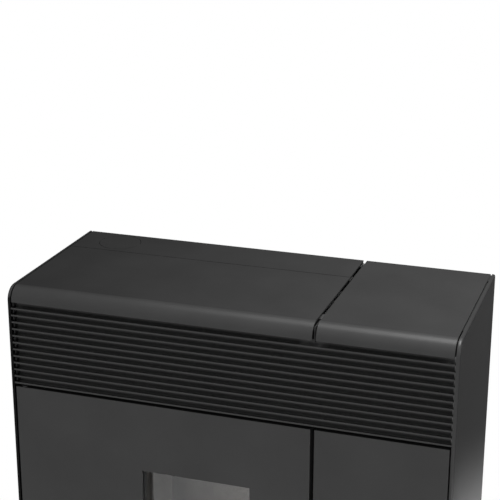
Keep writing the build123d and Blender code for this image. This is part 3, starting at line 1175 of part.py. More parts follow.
with BuildPart() as air_intake_pipe:
    rod((INTAKE_X, FIREBOX_BACK_Y, INTAKE_Z), (INTAKE_X, FIREBOX_BACK_Y + 3, INTAKE_Z), INTAKE_R + 9)
    rod((INTAKE_X, FIREBOX_BACK_Y, INTAKE_Z), (INTAKE_X, PIPE_END_Y, INTAKE_Z), INTAKE_R)
    rod((INTAKE_X, FIREBOX_BACK_Y, INTAKE_Z), (INTAKE_X, PIPE_END_Y, INTAKE_Z), INTAKE_R - INTAKE_WALL,
        mode=Mode.SUBTRACT)
save(air_intake_pipe, "air_intake_pipe")

# ---------------------------------------------------------------------------
# Room air fan: a cross-flow rotor in a sheet casing
# ---------------------------------------------------------------------------

CASE_R = BLOWER_R + BLOWER_GAP
CASE_TOP = BLOWER_Z + BLOWER_R + BLOWER_THROAT

with BuildPart() as room_fan_housing:
    with BuildSketch(section(BLOWER_X0)) as scroll:
        with BuildLine():
            CenterArc((BLOWER_Y, BLOWER_Z), CASE_R + BLOWER_SHEET, 180, 110)
            CenterArc((BLOWER_Y, BLOWER_Z), CASE_R, 180, 110)
            tail_out = (BLOWER_Y + (CASE_R + BLOWER_SHEET) * cos(radians(290)),
                        BLOWER_Z + (CASE_R + BLOWER_SHEET) * sin(radians(290)))
            tail_in = (BLOWER_Y + CASE_R * cos(radians(290)), BLOWER_Z + CASE_R * sin(radians(290)))
            Line(tail_out, tail_in)
            Polyline((BLOWER_Y - CASE_R - BLOWER_SHEET, BLOWER_Z),
                     (BLOWER_Y - CASE_R - BLOWER_SHEET, CASE_TOP),
                     (BLOWER_Y - CASE_R, CASE_TOP), (BLOWER_Y - CASE_R, BLOWER_Z))
        make_face()
        spanning(BLOWER_Y + 2, BLOWER_Y + 2 + BLOWER_SHEET, BLOWER_Z + CASE_R, CASE_TOP)
    extrude(scroll.sketch, amount=BLOWER_X1 - BLOWER_X0)
    for plate_x in (BLOWER_X0, BLOWER_X1 - BLOWER_SHEET):
        with BuildSketch(section(plate_x)) as end_plate:
            spanning(BLOWER_Y - CASE_R - BLOWER_SHEET, BLOWER_Y + CASE_R + BLOWER_SHEET, BASE_TOP, CASE_TOP)
            with Locations((BLOWER_Y, BLOWER_Z)):
                Circle(BLOWER_SHAFT_R + RUNNING_GAP, mode=Mode.SUBTRACT)
        extrude(end_plate.sketch, amount=BLOWER_SHEET)
save(room_fan_housing, "room_fan_housing")

ROTOR_X0 = BLOWER_X0 + BLOWER_SHEET + 4
ROTOR_X1 = BLOWER_X1 - BLOWER_SHEET - 4


def rotor_blade():
    """Section of one bowed blade, thickest in its middle, in the current sketch."""
    half = BLOWER_BLADE_CHORD / 2
    with BuildSketch() as blade:
        with BuildLine():
            ThreePointArc((-half, 0), (0, BLOWER_BLADE_BOW), (half, 0))
            ThreePointArc((-half, 0), (0, BLOWER_BLADE_BOW - BLOWER_BLADE_SHEET), (half, 0))
        make_face()
    return blade.sketch


ROTOR_BLADE = rotor_blade()

with BuildPart() as room_fan_rotor:
    with BuildSketch(section(ROTOR_X0)) as blades:
        with Locations((BLOWER_Y, BLOWER_Z)):
            with PolarLocations(BLOWER_R - BLOWER_BLADE_CHORD / 2 - 1, BLOWER_BLADES):
                add(ROTOR_BLADE, rotation=28)
    extrude(blades.sketch, amount=ROTOR_X1 - ROTOR_X0)
    for disc_x in (ROTOR_X0, (ROTOR_X0 + ROTOR_X1) / 2, ROTOR_X1 - BLOWER_DISC):
        rod((disc_x, BLOWER_Y, BLOWER_Z), (disc_x + BLOWER_DISC, BLOWER_Y, BLOWER_Z), BLOWER_R)
    rod((BLOWER_X0 - 6, BLOWER_Y, BLOWER_Z), (ROTOR_X0, BLOWER_Y, BLOWER_Z), BLOWER_SHAFT_R)
    rod((ROTOR_X1, BLOWER_Y, BLOWER_Z), (BLOWER_X1 + 24, BLOWER_Y, BLOWER_Z), BLOWER_SHAFT_R)
save(room_fan_rotor, "room_fan_rotor")

with BuildPart() as room_fan_motor:
    rod((BLOWER_X1, BLOWER_Y, BLOWER_Z), (BLOWER_X1 + BLOWER_MOTOR_LENGTH, BLOWER_Y, BLOWER_Z),
        BLOWER_MOTOR_R)
    chamfer(room_fan_motor.faces().sort_by(Axis.X)[-1].edges(), 4)
    rod((BLOWER_X1, BLOWER_Y, BLOWER_Z), (BLOWER_X1 + 26, BLOWER_Y, BLOWER_Z),
        BLOWER_SHAFT_R + RUNNING_GAP, mode=Mode.SUBTRACT)
save(room_fan_motor, "room_fan_motor")

# ---------------------------------------------------------------------------
# Ash compartment and ash drawer
# ---------------------------------------------------------------------------

RUNNER_TOP = ASH_BOTTOM + ASH_SHEET + RUNNER_HEIGHT

with BuildPart() as ash_compartment:
    bar(ASH_X0, ASH_X1, POST_FRONT_Y, ASH_BACK_Y, ASH_BOTTOM, FIREBOX_FLOOR)
    bar(ASH_X0 + ASH_SHEET, ASH_X1 - ASH_SHEET, POST_FRONT_Y, ASH_BACK_Y - ASH_SHEET,
        ASH_BOTTOM + ASH_SHEET, FIREBOX_FLOOR, mode=Mode.SUBTRACT)
    bar(ASH_X0 - SEAL_BORDER, ASH_X1 + SEAL_BORDER, POST_FRONT_Y, POST_FRONT_Y + ASH_SHEET,
        ASH_BOTTOM - SEAL_BORDER, FIREBOX_FLOOR - 8)
    bar(ASH_X0 + ASH_SHEET, ASH_X1 - ASH_SHEET, POST_FRONT_Y, POST_FRONT_Y + ASH_SHEET,
        ASH_BOTTOM + ASH_SHEET, FIREBOX_FLOOR - 22, mode=Mode.SUBTRACT)
    for runner_x in (ASH_X0 + ASH_SHEET, ASH_X1 - ASH_SHEET - RUNNER_WIDTH):
        bar(runner_x, runner_x + RUNNER_WIDTH, POST_FRONT_Y, ASH_BACK_Y - ASH_SHEET,
            ASH_BOTTOM + ASH_SHEET, RUNNER_TOP)
    for leg_x in (ASH_X0, ASH_X1 - ASH_SHEET):
        for leg_y in (POST_FRONT_Y, ASH_BACK_Y - POST):
            bar(leg_x, leg_x + ASH_SHEET, leg_y, leg_y + POST, BASE_TOP, ASH_BOTTOM)
save(ash_compartment, "ash_compartment")

PAN_X0 = ASH_X0 + ASH_SHEET + DRAWER_SIDE_GAP
PAN_X1 = ASH_X1 - ASH_SHEET - DRAWER_SIDE_GAP
PAN_Z0 = RUNNER_TOP + SEAT_GAP
PAN_Z1 = PAN_Z0 + DRAWER_HEIGHT
SEAL_Y1 = POST_FRONT_Y - SEAT_GAP
PAN_Y1 = ASH_BACK_Y - ASH_SHEET - DRAWER_BACK_GAP

with BuildPart() as ash_drawer_box:
    bar(PAN_X0, PAN_X1, SEAL_Y1 - SEAL_SHEET, PAN_Y1, PAN_Z0, PAN_Z1)
    bar(PAN_X0 + DRAWER_SHEET, PAN_X1 - DRAWER_SHEET, SEAL_Y1 + DRAWER_SHEET, PAN_Y1 - DRAWER_SHEET,
        PAN_Z0 + DRAWER_SHEET, PAN_Z1, mode=Mode.SUBTRACT)
    bar(ASH_X0 - SEAL_BORDER, ASH_X1 + SEAL_BORDER, SEAL_Y1 - SEAL_SHEET, SEAL_Y1,
        ASH_BOTTOM - SEAL_BORDER, DRAWER_TOP - 12)
    for spacer_x in (ASH_X0 + 10, ASH_X1 - 10):
        for spacer_z in (ASH_BOTTOM + 6, DRAWER_TOP - 24):
            rod((spacer_x, Y_FRONT + PANEL_SHEET, spacer_z), (spacer_x, SEAL_Y1 - SEAL_SHEET, spacer_z), 7)
save(ash_drawer_box, "ash_drawer_box")

with BuildPart() as ash_drawer_front:
    folded_panel(LEFT_X0, LEFT_X1, DRAWER_BOTTOM, DRAWER_TOP)
save(ash_drawer_front, "ash_drawer_front")

# ---------------------------------------------------------------------------
# Pellet hopper, feed screw and chute
# ---------------------------------------------------------------------------

HOPPER_MID = ((HOPPER_X0 + HOPPER_X1) / 2, (HOPPER_Y0 + HOPPER_Y1) / 2)
HOPPER_SIZE = (HOPPER_X1 - HOPPER_X0, HOPPER_Y1 - HOPPER_Y0)


def hopper_body(inset, extra):
    """Straight bin over a skewed funnel, shrunk by a wall's thickness, for the current part."""
    mode = Mode.ADD if inset == 0 else Mode.SUBTRACT
    with BuildSketch(level(HOPPER_TAPER_Z)) as bin_section:
        with Locations(HOPPER_MID):
            Rectangle(HOPPER_SIZE[0] - 2 * inset, HOPPER_SIZE[1] - 2 * inset)
    extrude(bin_section.sketch, amount=HOPPER_TOP - HOPPER_TAPER_Z + extra, mode=mode)
    with BuildSketch(level(THROAT_Z)) as throat_section:
        with Locations((THROAT_X, AUGER_Y)):
            Rectangle(2 * (THROAT_HALF + THROAT_WALL - inset), 2 * (THROAT_HALF + THROAT_WALL - inset))
    loft([bin_section.sketch, throat_section.sketch], mode=mode)


with BuildPart() as pellet_hopper:
    hopper_body(0, 0)
    with BuildSketch(level(HOPPER_TOP - HOPPER_SHEET)):
        with Locations(HOPPER_MID):
            Rectangle(HOPPER_SIZE[0] + 2 * HOPPER_RIM, HOPPER_SIZE[1] + 2 * HOPPER_RIM)
    extrude(amount=HOPPER_SHEET)
    with BuildSketch(level(THROAT_Z)):
        with Locations((THROAT_X, AUGER_Y)):
            Rectangle(2 * (THROAT_HALF + THROAT_FLANGE), 2 * (THROAT_HALF + THROAT_FLANGE))
    extrude(amount=HOPPER_SHEET)
    hopper_body(HOPPER_SHEET, 1)
save(pellet_hopper, "pellet_hopper")

with BuildPart() as auger_tube:
    with BuildSketch(AUGER_PLANE):
        Circle(AUGER_TUBE_R)
    extrude(amount=AUGER_TUBE_LENGTH)
    with BuildSketch(level(auger_z(THROAT_X))):
        with Locations((THROAT_X, AUGER_Y)):
            Rectangle(2 * (THROAT_HALF + THROAT_WALL), 2 * (THROAT_HALF + THROAT_WALL))
    extrude(amount=THROAT_LIFT)
    with BuildSketch(level(THROAT_Z - THROAT_WALL)):
        with Locations((THROAT_X, AUGER_Y)):
            Rectangle(2 * (THROAT_HALF + THROAT_FLANGE), 2 * (THROAT_HALF + THROAT_FLANGE))
    extrude(amount=THROAT_WALL)
    with BuildSketch(level(OUTLET_Z)):
        with Locations((OUTLET_X, AUGER_Y)):
            Rectangle(2 * (OUTLET_HALF + CHUTE_SHEET), 2 * (OUTLET_HALF + CHUTE_SHEET))
    extrude(amount=auger_z(OUTLET_X) - OUTLET_Z)
    with BuildSketch(AUGER_PLANE.offset(AUGER_END_PLATE)):
        Circle(AUGER_TUBE_R - AUGER_TUBE_WALL)
    extrude(amount=AUGER_TUBE_LENGTH - 2 * AUGER_END_PLATE, mode=Mode.SUBTRACT)
    with BuildSketch(level(auger_z(THROAT_X))):
        with Locations((THROAT_X, AUGER_Y)):
            Rectangle(2 * THROAT_HALF, 2 * THROAT_HALF)
    extrude(amount=THROAT_LIFT, mode=Mode.SUBTRACT)
    with BuildSketch(level(OUTLET_Z)):
        with Locations((OUTLET_X, AUGER_Y)):
            Rectangle(2 * OUTLET_HALF, 2 * OUTLET_HALF)
    extrude(amount=auger_z(OUTLET_X) - OUTLET_Z, mode=Mode.SUBTRACT)
    with BuildSketch(AUGER_PLANE):
        Circle(AUGER_SHAFT_R + RUNNING_GAP)
    extrude(amount=AUGER_TUBE_LENGTH, mode=Mode.SUBTRACT)
save(auger_tube, "auger_tube")

SCREW_LENGTH = AUGER_TUBE_LENGTH - 2 * AUGER_END_PLATE - 2 * AUGER_END_GAP
FLIGHT_R = (AUGER_SCREW_R + AUGER_SHAFT_R) / 2

with BuildPart() as straight_screw:
    with BuildLine() as flight_path:
        Helix(pitch=AUGER_PITCH, height=SCREW_LENGTH, radius=FLIGHT_R)
    flight_start = Plane(origin=flight_path.line @ 0, x_dir=(1, 0, 0), z_dir=flight_path.line % 0)
    with BuildSketch(flight_start) as flight:
        Rectangle(AUGER_SCREW_R - AUGER_SHAFT_R + 1, AUGER_FLIGHT_SHEET)
    sweep(flight.sketch, path=flight_path.line, is_frenet=True)
    Cylinder(AUGER_SHAFT_R, SCREW_LENGTH + AUGER_END_GAP + AUGER_END_PLATE,
             align=(Align.CENTER, Align.CENTER, Align.MIN))

with BuildPart() as auger_screw:
    with Locations(AUGER_PLANE.offset(AUGER_END_PLATE + AUGER_END_GAP)):
        add(straight_screw.part)
    with Locations(AUGER_PLANE.offset(-AUGER_STUB)):
        Cylinder(AUGER_STUB_R, AUGER_STUB + 1, align=(Align.CENTER, Align.CENTER, Align.MIN))
    with Locations(AUGER_PLANE):
        Cylinder(AUGER_SHAFT_R, AUGER_END_PLATE + AUGER_END_GAP + 1,
                 align=(Align.CENTER, Align.CENTER, Align.MIN))
save(auger_screw, "auger_screw")

with BuildPart() as auger_gearmotor:
    with BuildSketch(AUGER_PLANE.offset(-GEARBOX_LENGTH)):
        RectangleRounded(2 * GEARBOX_HALF, 2 * GEARBOX_HALF, 5)
    extrude(amount=GEARBOX_LENGTH)
    with BuildSketch(AUGER_PLANE.offset(-GEARBOX_LENGTH - FEED_MOTOR_LENGTH)):
        Circle(FEED_MOTOR_R)
    extrude(amount=FEED_MOTOR_LENGTH)
    with BuildSketch(AUGER_PLANE.offset(-AUGER_STUB - 1)):
        Circle(AUGER_STUB_R + RUNNING_GAP)
    extrude(amount=AUGER_STUB + 1, mode=Mode.SUBTRACT)
save(auger_gearmotor, "auger_gearmotor")


def chute_outline(inset, reach):
    """Side view of the chute: a short drop, then a slope to the burn pot."""
    x1 = CHUTE_X1 - inset
    x0 = CHUTE_X0 + inset
    floor_z = OUTLET_Z - CHUTE_HEIGHT / 2 + inset * 1.3
    roof_z = OUTLET_Z - CHUTE_HEIGHT / 4
    lip_x = CHUTE_LIP_X - reach
    mouth_x = CHUTE_MOUTH_X - reach
    with BuildLine() as outline:
        Polyline((x0, OUTLET_Z + reach), (x1, OUTLET_Z + reach), (x1, floor_z),
                 (lip_x, floor_z - (x1 - lip_x) * CHUTE_FALL),
                 (lip_x, floor_z - (x1 - lip_x) * CHUTE_FALL + CHUTE_SHEET * 4),
                 (mouth_x, roof_z - (x0 - mouth_x) * CHUTE_FALL), (x0, roof_z), close=True)
    make_face(outline.line)


with BuildPart() as pellet_chute:
    with BuildSketch(facing(CHUTE_Y1)) as chute_skin:
        chute_outline(0, 0)
    extrude(chute_skin.sketch, amount=CHUTE_Y1 - CHUTE_Y0)
    with BuildSketch(facing(CHUTE_Y1 - CHUTE_SHEET)) as chute_hollow:
        chute_outline(CHUTE_SHEET, 4)
    extrude(chute_hollow.sketch, amount=CHUTE_Y1 - CHUTE_Y0 - 2 * CHUTE_SHEET, mode=Mode.SUBTRACT)
save(pellet_chute, "pellet_chute")

# ---------------------------------------------------------------------------
# Controls and electrics
# ---------------------------------------------------------------------------

CONTROL_Y1 = CONTROL_Y0 + PANEL_DEPTH
CONTROL_MID = (POST_FRONT_Y + POST + CONTROL_Y1) / 2
CONTROL_Z0 = CONTROL_TOP - PANEL_BODY_H
BUTTON_WELL = BUTTON_HEIGHT + BUTTON_PROUD

with BuildPart() as control_panel:
    with BuildSketch(level(CONTROL_Z0)):
        spanning(PANEL_X0, PANEL_X1, CONTROL_Y0, CONTROL_Y1)
    extrude(amount=PANEL_BODY_H)
    fillet(control_panel.edges().filter_by(Axis.Z), 4)
    chamfer(control_panel.faces().sort_by(Axis.Z)[-1].edges(), 1)
    with BuildSketch(level(CONTROL_TOP - 1)):
        spanning(DISPLAY_X0, DISPLAY_X1, CONTROL_MID - DISPLAY_DEPTH / 2, CONTROL_MID + DISPLAY_DEPTH / 2)
    extrude(amount=1, mode=Mode.SUBTRACT)
    with BuildSketch(level(CONTROL_TOP - BUTTON_WELL)):
        for button_x in BUTTON_X:
            with Locations((button_x, CONTROL_MID)):
                Circle(BUTTON_R + BUTTON_GAP)
    extrude(amount=BUTTON_WELL, mode=Mode.SUBTRACT)
save(control_panel, "control_panel")


def panel_button(button_x):
    """Round key cap with a bevelled top edge, standing a little proud of the panel."""
    rod((button_x, CONTROL_MID, CONTROL_TOP + BUTTON_PROUD - BUTTON_HEIGHT),
        (button_x, CONTROL_MID, CONTROL_TOP + BUTTON_PROUD), BUTTON_R)
    context = BuildPart._get_context()
    chamfer(context.faces().sort_by(Axis.Z)[-1].edges(), 0.8)


with BuildPart() as button_power:
    panel_button(BUTTON_X[0])
save(button_power, "button_power")

with BuildPart() as button_down:
    panel_button(BUTTON_X[1])
save(button_down, "button_down")

with BuildPart() as button_up:
    panel_button(BUTTON_X[2])
save(button_up, "button_up")

with BuildPart() as control_board:
    pcb_x = PARTITION_X1 + STANDOFF
    bar(pcb_x, pcb_x + PCB_SHEET, BOARD_Y0, BOARD_Y1, BOARD_Z0, BOARD_Z1)
    for post_y in (BOARD_Y0 + BOARD_MARGIN, BOARD_Y1 - BOARD_MARGIN):
        for post_z in (BOARD_Z0 + BOARD_MARGIN, BOARD_Z1 - BOARD_MARGIN):
            rod((PARTITION_X1, post_y, post_z), (pcb_x, post_y, post_z), STANDOFF_R)
    parts_x = pcb_x + PCB_SHEET
    row_y = BOARD_Y0 + 2 * BOARD_MARGIN
    row_z = BOARD_Z0 + 2 * BOARD_MARGIN
    for index in range(RELAY_COUNT):
        relay_y = row_y + index * RELAY_PITCH
        bar(parts_x, parts_x + RELAY[0], relay_y, relay_y + RELAY[1], row_z, row_z + RELAY[2])
    top_z = BOARD_Z1 - 2 * BOARD_MARGIN
    bar(parts_x, parts_x + TRANSFORMER[0], row_y, row_y + TRANSFORMER[1], top_z - TRANSFORMER[2], top_z)
    for index in (1, 2):
        pot_y = BOARD_Y1 - index * CAPACITOR_PITCH
        rod((parts_x, pot_y, top_z - CAPACITOR_R), (parts_x + CAPACITOR_LENGTH, pot_y, top_z - CAPACITOR_R),
            CAPACITOR_R)
save(control_board, "control_board")

INLET_FRONT = PANEL_Y + INLET_FASCIA
ROCKER_Z = INLET_Z + INLET_HEIGHT / 2 - 17
SOCKET_Z = INLET_Z - INLET_HEIGHT / 2 + 20

with BuildPart() as mains_inlet:
    with BuildSketch(facing(INLET_FRONT)):
        with Locations((INLET_X, INLET_Z)):
            RectangleRounded(INLET_WIDTH, INLET_HEIGHT, 3)
    extrude(amount=INLET_FASCIA)
    with BuildSketch(facing(PANEL_Y)):
        with Locations((INLET_X, INLET_Z)):
            Rectangle(INLET_WIDTH - 6 - 2 * SEAT_GAP, INLET_HEIGHT - 6 - 2 * SEAT_GAP)
    extrude(amount=INLET_DEPTH)
    with BuildSketch(facing(INLET_FRONT)):
        with Locations((INLET_X, SOCKET_Z)):
            RectangleRounded(SOCKET_WIDTH, SOCKET_HEIGHT, 4)
    extrude(amount=SOCKET_DEPTH, mode=Mode.SUBTRACT)
    with BuildSketch(facing(INLET_FRONT - SOCKET_DEPTH)):
        for pin_dx, pin_dz in ((-7, 0), (7, 0), (0, 4)):
            with Locations((INLET_X + pin_dx, SOCKET_Z + pin_dz)):
                Rectangle(2, 4)
    extrude(amount=-(SOCKET_DEPTH - 3))
    with BuildSketch(facing(INLET_FRONT)):
        with Locations((INLET_X, ROCKER_Z)):
            Rectangle(ROCKER_WIDTH + 1, ROCKER_HEIGHT + 1)
    extrude(amount=ROCKER_DEPTH + 4, mode=Mode.SUBTRACT)
save(mains_inlet, "mains_inlet")

ROCKER_Y = INLET_FRONT - 4

ROCKER_PLANE = Plane(origin=(INLET_X - ROCKER_WIDTH / 2, ROCKER_Y, ROCKER_Z),
                     x_dir=(0, cos(radians(ROCKER_TILT)), sin(radians(ROCKER_TILT))), z_dir=(1, 0, 0))

with BuildPart() as power_rocker:
    with BuildSketch(ROCKER_PLANE):
        with BuildLine():
            half = ROCKER_HEIGHT / 2 - 0.6
            Polyline((0, -4), (-5, 0), (0, 4), (3.4, half), (2.2, 0), (3.4, -half), close=True)
        make_face()
    extrude(amount=ROCKER_WIDTH)
save(power_rocker, "power_rocker")

with BuildPart() as safety_thermostat:
    rod((STAT_X, PANEL_IN_Y - STAT_DEPTH, STAT_Z), (STAT_X, PANEL_IN_Y, STAT_Z), STAT_R)
    rod((STAT_X, PANEL_IN_Y, STAT_Z), (STAT_X, PANEL_Y + 1, STAT_Z), STAT_NECK_R)
    rod((STAT_X, PANEL_IN_Y - 6, STAT_Z), (STAT_X, PANEL_Y + 1, STAT_Z), RESET_R + BUTTON_GAP,
        mode=Mode.SUBTRACT)
save(safety_thermostat, "safety_thermostat")

with BuildPart() as reset_button:
    rod((STAT_X, PANEL_IN_Y - 6 + RESET_TRAVEL + 0.5, STAT_Z), (STAT_X, Y_REAR - 0.8, STAT_Z), RESET_R)
save(reset_button, "reset_button")
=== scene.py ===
# %% [markdown]
# # A slim pellet stove, dressed for a studio picture
#
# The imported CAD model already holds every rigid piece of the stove: sheet casing, fire door,
# louvre, hopper, fans and so on. This lesson loads it, gives each piece a finish made of
# shader nodes, adds the soft and small pieces that the CAD leaves plain, and lights it all.
# The origin is on the floor under the middle of the stove. Blender counts in metres. Outlines
# are drawn in millimetres, as on a maker's drawing.

from math import cos, pi, radians, sin

import bmesh
import bpy
from mathutils import Matrix, Vector


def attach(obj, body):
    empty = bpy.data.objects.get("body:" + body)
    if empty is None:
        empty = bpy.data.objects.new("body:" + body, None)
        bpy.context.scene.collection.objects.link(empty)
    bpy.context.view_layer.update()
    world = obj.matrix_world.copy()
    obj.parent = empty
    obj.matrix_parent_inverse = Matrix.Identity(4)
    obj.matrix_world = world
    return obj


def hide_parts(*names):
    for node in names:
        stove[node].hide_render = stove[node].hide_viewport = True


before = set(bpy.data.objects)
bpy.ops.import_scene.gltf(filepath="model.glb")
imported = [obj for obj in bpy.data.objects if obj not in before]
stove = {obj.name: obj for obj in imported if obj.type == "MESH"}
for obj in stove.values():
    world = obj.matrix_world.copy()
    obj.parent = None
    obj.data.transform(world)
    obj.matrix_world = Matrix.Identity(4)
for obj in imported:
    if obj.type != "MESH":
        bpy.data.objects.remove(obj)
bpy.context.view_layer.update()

# %% [markdown]
# ## Measuring the CAD pieces
#
# Small pieces sit on the CAD's own: a screw on a flange, a rope in the door's frame. Their
# places could be typed in, but then they would stay behind if the CAD changed. So each is
# worked out from the corners of the piece it sits on.

# %% Corners of a CAD piece
MM = 0.001


def corners(name):
    """Lowest and highest corner of a CAD piece, in millimetres."""
    box = stove[name].bound_box
    return [Vector([round(part / MM, 3) for part in box[end]]) for end in (0, 6)]


print("the casing's louvre reaches", *corners("louvre_grille"))

# %% [markdown]
# ## Writing shader maths as sums
#
# A finish is a small web of nodes. Wiring it by hand takes a line for each link. A class that
# wraps one output of a node can shorten that, because Python lets it say what + and * do. So
# `a * 2 + b` makes two Math nodes and links them.

# %% A wire that can be added up
class Wire:
    """One node output that can be used in sums."""

    def __init__(self, web, socket):
        self.web = web
        self.socket = socket

    def sum_node(self, operation, first, second):
        return self.web.node("ShaderNodeMath", {"operation": operation}, {0: first, 1: second})

    def __add__(self, other):
        return self.sum_node("ADD", self, other)

    def __radd__(self, other):
        return self.sum_node("ADD", other, self)

    def __sub__(self, other):
        return self.sum_node("SUBTRACT", self, other)

    def __rsub__(self, other):
        return self.sum_node("SUBTRACT", other, self)

    def __mul__(self, other):
        return self.sum_node("MULTIPLY", self, other)

    def __rmul__(self, other):
        return self.sum_node("MULTIPLY", other, self)


print("wires add, subtract and multiply")

# %% [markdown]
# ## A web of nodes
#
# Every other node comes from one method, which takes the node's type, its settings and its
# inputs. Settings come first, because some of them change which sockets a node has. The
# stove's materials and the world both use it.

# %% One way to add a node
def set_stops(ramp, stops):
    """Sets a colour ramp from (place, grey or colour) pairs."""
    while len(ramp.elements) < len(stops):
        ramp.elements.new(0.5)
    for element, (position, colour) in zip(ramp.elements, stops):
        element.position = position
        element.color = (*colour, 1) if isinstance(colour, tuple) else (colour, colour, colour, 1)


class Web:
    """A node tree, with one short way to add a node to it."""

    def __init__(self, tree):
        self.tree = tree

    def feed(self, socket, value):
        if isinstance(value, Wire):
            self.tree.links.new(value.socket, socket)
        else:
            socket.default_value = value

    def node(self, kind, settings=None, inputs=None, output=0):
        made = self.tree.nodes.new(kind)
        for key, value in (settings or {}).items():
            if key == "stops":
                set_stops(made.color_ramp, value)
            else:
                setattr(made, key, value)
        for key, value in (inputs or {}).items():
            self.feed(made.inputs[key], value)
        return Wire(self, made.outputs[output])

    def seen(self):
        """Is 0 for light that falls on things, and at least 1 for what is looked at: by the
        camera, in a mirror or through the glass."""
        looks = [self.node("ShaderNodeLightPath", output=f"Is {way} Ray")
                 for way in ("Camera", "Glossy", "Transmission")]
        return looks[0] + looks[1] + looks[2]


print("a web can add nodes")

# %% [markdown]
# ## A finish
#
# A finish is a web that owns a material. Its methods are the patterns that the stove's
# finishes share. They read Object coordinates, so a pattern keeps its size on a small clip
# and on a wide panel, and stays put when the piece moves. Only the rope reads its own UVs.

# %% Patterns for a finish
class Finish(Web):
    """A material whose varying sockets are fed by nodes, and whose steady ones are set."""

    def __init__(self, name, **steady):
        self.material = bpy.data.materials.new(name)
        self.material.use_nodes = True
        super().__init__(self.material.node_tree)
        self.shader = self.tree.nodes["Principled BSDF"]
        for socket, value in steady.items():
            self.shader.inputs[socket.replace("_", " ")].default_value = value

    def place(self, stretch=(1, 1, 1)):
        """Object coordinates, stretched so that a pattern can run along one axis."""
        where = self.node("ShaderNodeTexCoord", output="Object")
        return self.node("ShaderNodeMapping", None, {"Vector": where, "Scale": stretch})

    def along(self, axis):
        """The place on one axis alone."""
        return self.node("ShaderNodeSeparateXYZ", None, {"Vector": self.place()}, axis)

    def run(self, stretch):
        """The piece's own UVs, which count rings along it and points round it."""
        where = self.node("ShaderNodeUVMap", {"uv_map": "run"})
        return self.node("ShaderNodeMapping", None, {"Vector": where, "Scale": stretch})

    def noise(self, where, scale, detail=2.0, rough=0.5):
        inputs = {"Vector": where, "Scale": scale, "Detail": detail, "Roughness": rough}
        return self.node("ShaderNodeTexNoise", None, inputs)

    def cells(self, where, scale, output="Distance"):
        return self.node("ShaderNodeTexVoronoi", None, {"Vector": where, "Scale": scale}, output)

    def patches(self, where, scale):
        """Cells with one random grey each."""
        return self.node("ShaderNodeSeparateColor", None, {"Color": self.cells(where, scale, "Color")})

    def ramp(self, value, stops):
        return self.node("ShaderNodeValToRGB", {"stops": stops}, {"Fac": value}, "Color")

    def reach(self, axis, start, end, first=0.0, last=1.0):
        """Goes from first to last as the place on one axis goes from start to end."""
        inputs = {"Value": self.along(axis), "From Min": start, "From Max": end,
                  "To Min": first, "To Max": last}
        return self.node("ShaderNodeMapRange", None, inputs)

    def blend(self, factor, first, second):
        settings = {"data_type": "RGBA"}
        return self.node("ShaderNodeMix", settings, {0: factor, 6: first, 7: second}, output=2)

    def bump(self, height, strength, distance):
        inputs = {"Height": height, "Strength": strength, "Distance": distance}
        self.use("Normal", self.node("ShaderNodeBump", None, inputs))

    def use(self, socket, value):
        self.feed(self.shader.inputs[socket], value)


def rgba(red, green, blue):
    return (red, green, blue, 1.0)


def neutral(level):
    return rgba(level, level, level)


def wear(finish, *nodes):
    """Puts a finish on the material slots of CAD pieces."""
    for name in nodes:
        for slot in stove[name].material_slots:
            slot.material = finish.material


print("a finish can be made and worn")

# %% [markdown]
# ## Black powder coat
#
# The casing is folded steel with a satin black powder coat. Baked powder flows into a very
# fine orange peel, which breaks up the reflection of a lamp without showing as dots from a
# step away. So the colour is one dark grey with a slight drift, and the peel is a bump of a
# few thousandths of a millimetre. The powder carries a little metal flake: that gives the
# broad soft highlight of the rolled edges, while the dark edge tint keeps flat faces matt
# when they are seen at a low angle. The base has a matt coat.

# %% Powder coat
COAT_GREY = 0.052
COAT_ROUGHNESS = 0.33
FLAKE = 0.42
EDGE_TINT = 0.15


def powder_coat(name, grey, roughness, peel=0.12):
    coat = Finish(name, Metallic=FLAKE, Specular_IOR_Level=0.0, Specular_Tint=neutral(EDGE_TINT))
    drift = coat.noise(coat.place(), 9.0, 3.0)
    grain = coat.noise(coat.place(), 900.0, 1.0)
    coat.use("Base Color", coat.ramp(drift, [(0.3, grey * 0.94), (0.7, grey * 1.06)]))
    coat.use("Roughness", drift * 0.05 + grain * 0.03 + (roughness - 0.04))
    coat.bump(grain + coat.noise(coat.place(), 2600.0, 0.0) * 0.5, peel, 0.00003)
    return coat


wear(powder_coat("satin_black_coat", COAT_GREY, COAT_ROUGHNESS), "side_panel_right", "top_cover",
     "top_rear_strip", "hopper_lid", "right_front_panel", "door_skin", "ash_drawer_front")
wear(powder_coat("matt_black_base", COAT_GREY * 0.7, 0.6, 0.3), "base_plate", "latch_keeper",
     "door_hinge_plates", "module_partition")
print("powder coat on the casing and the base")

# %% [markdown]
# ## Where the coat carries painted light or shade
#
# The louvre's coat is painted lighter behind the lips of its blades, a painted light in its
# slots, but not on the cheek at the left end. The left side's front rim is painted darker, a
# painted shade. Both could be painted on, but a mask that follows the depth behind the front is
# exact and short. Its limits are in millimetres from the piece's front or left end.

# %% Louvre and left side
# Painted light: the louvre's grey is raised behind the lips of its blades, clear of the left cheek.
PAINTED_LIGHT_FROM, PAINTED_LIGHT_FULL = 1.3, 2.5
CHEEK_INNER, CHEEK_CLEAR = 3.5, 4.0
PAINTED_LIGHT_GAIN = 2.3
# Painted shade: the left side's front rim is darkened to this share of the grey.
RIM_BACK, RIM_FRONT = 2.5, 0.8
RIM_PAINTED_SHADE_GAIN = 0.2


def shade_coat(coat, mask, gain):
    """Multiplies the coat's grey by a gain where a mask is 1: painted light above a gain of 1, painted
    shade below it.
    """
    coat.use("Base Color", coat.blend(mask, neutral(COAT_GREY), neutral(COAT_GREY * gain)))


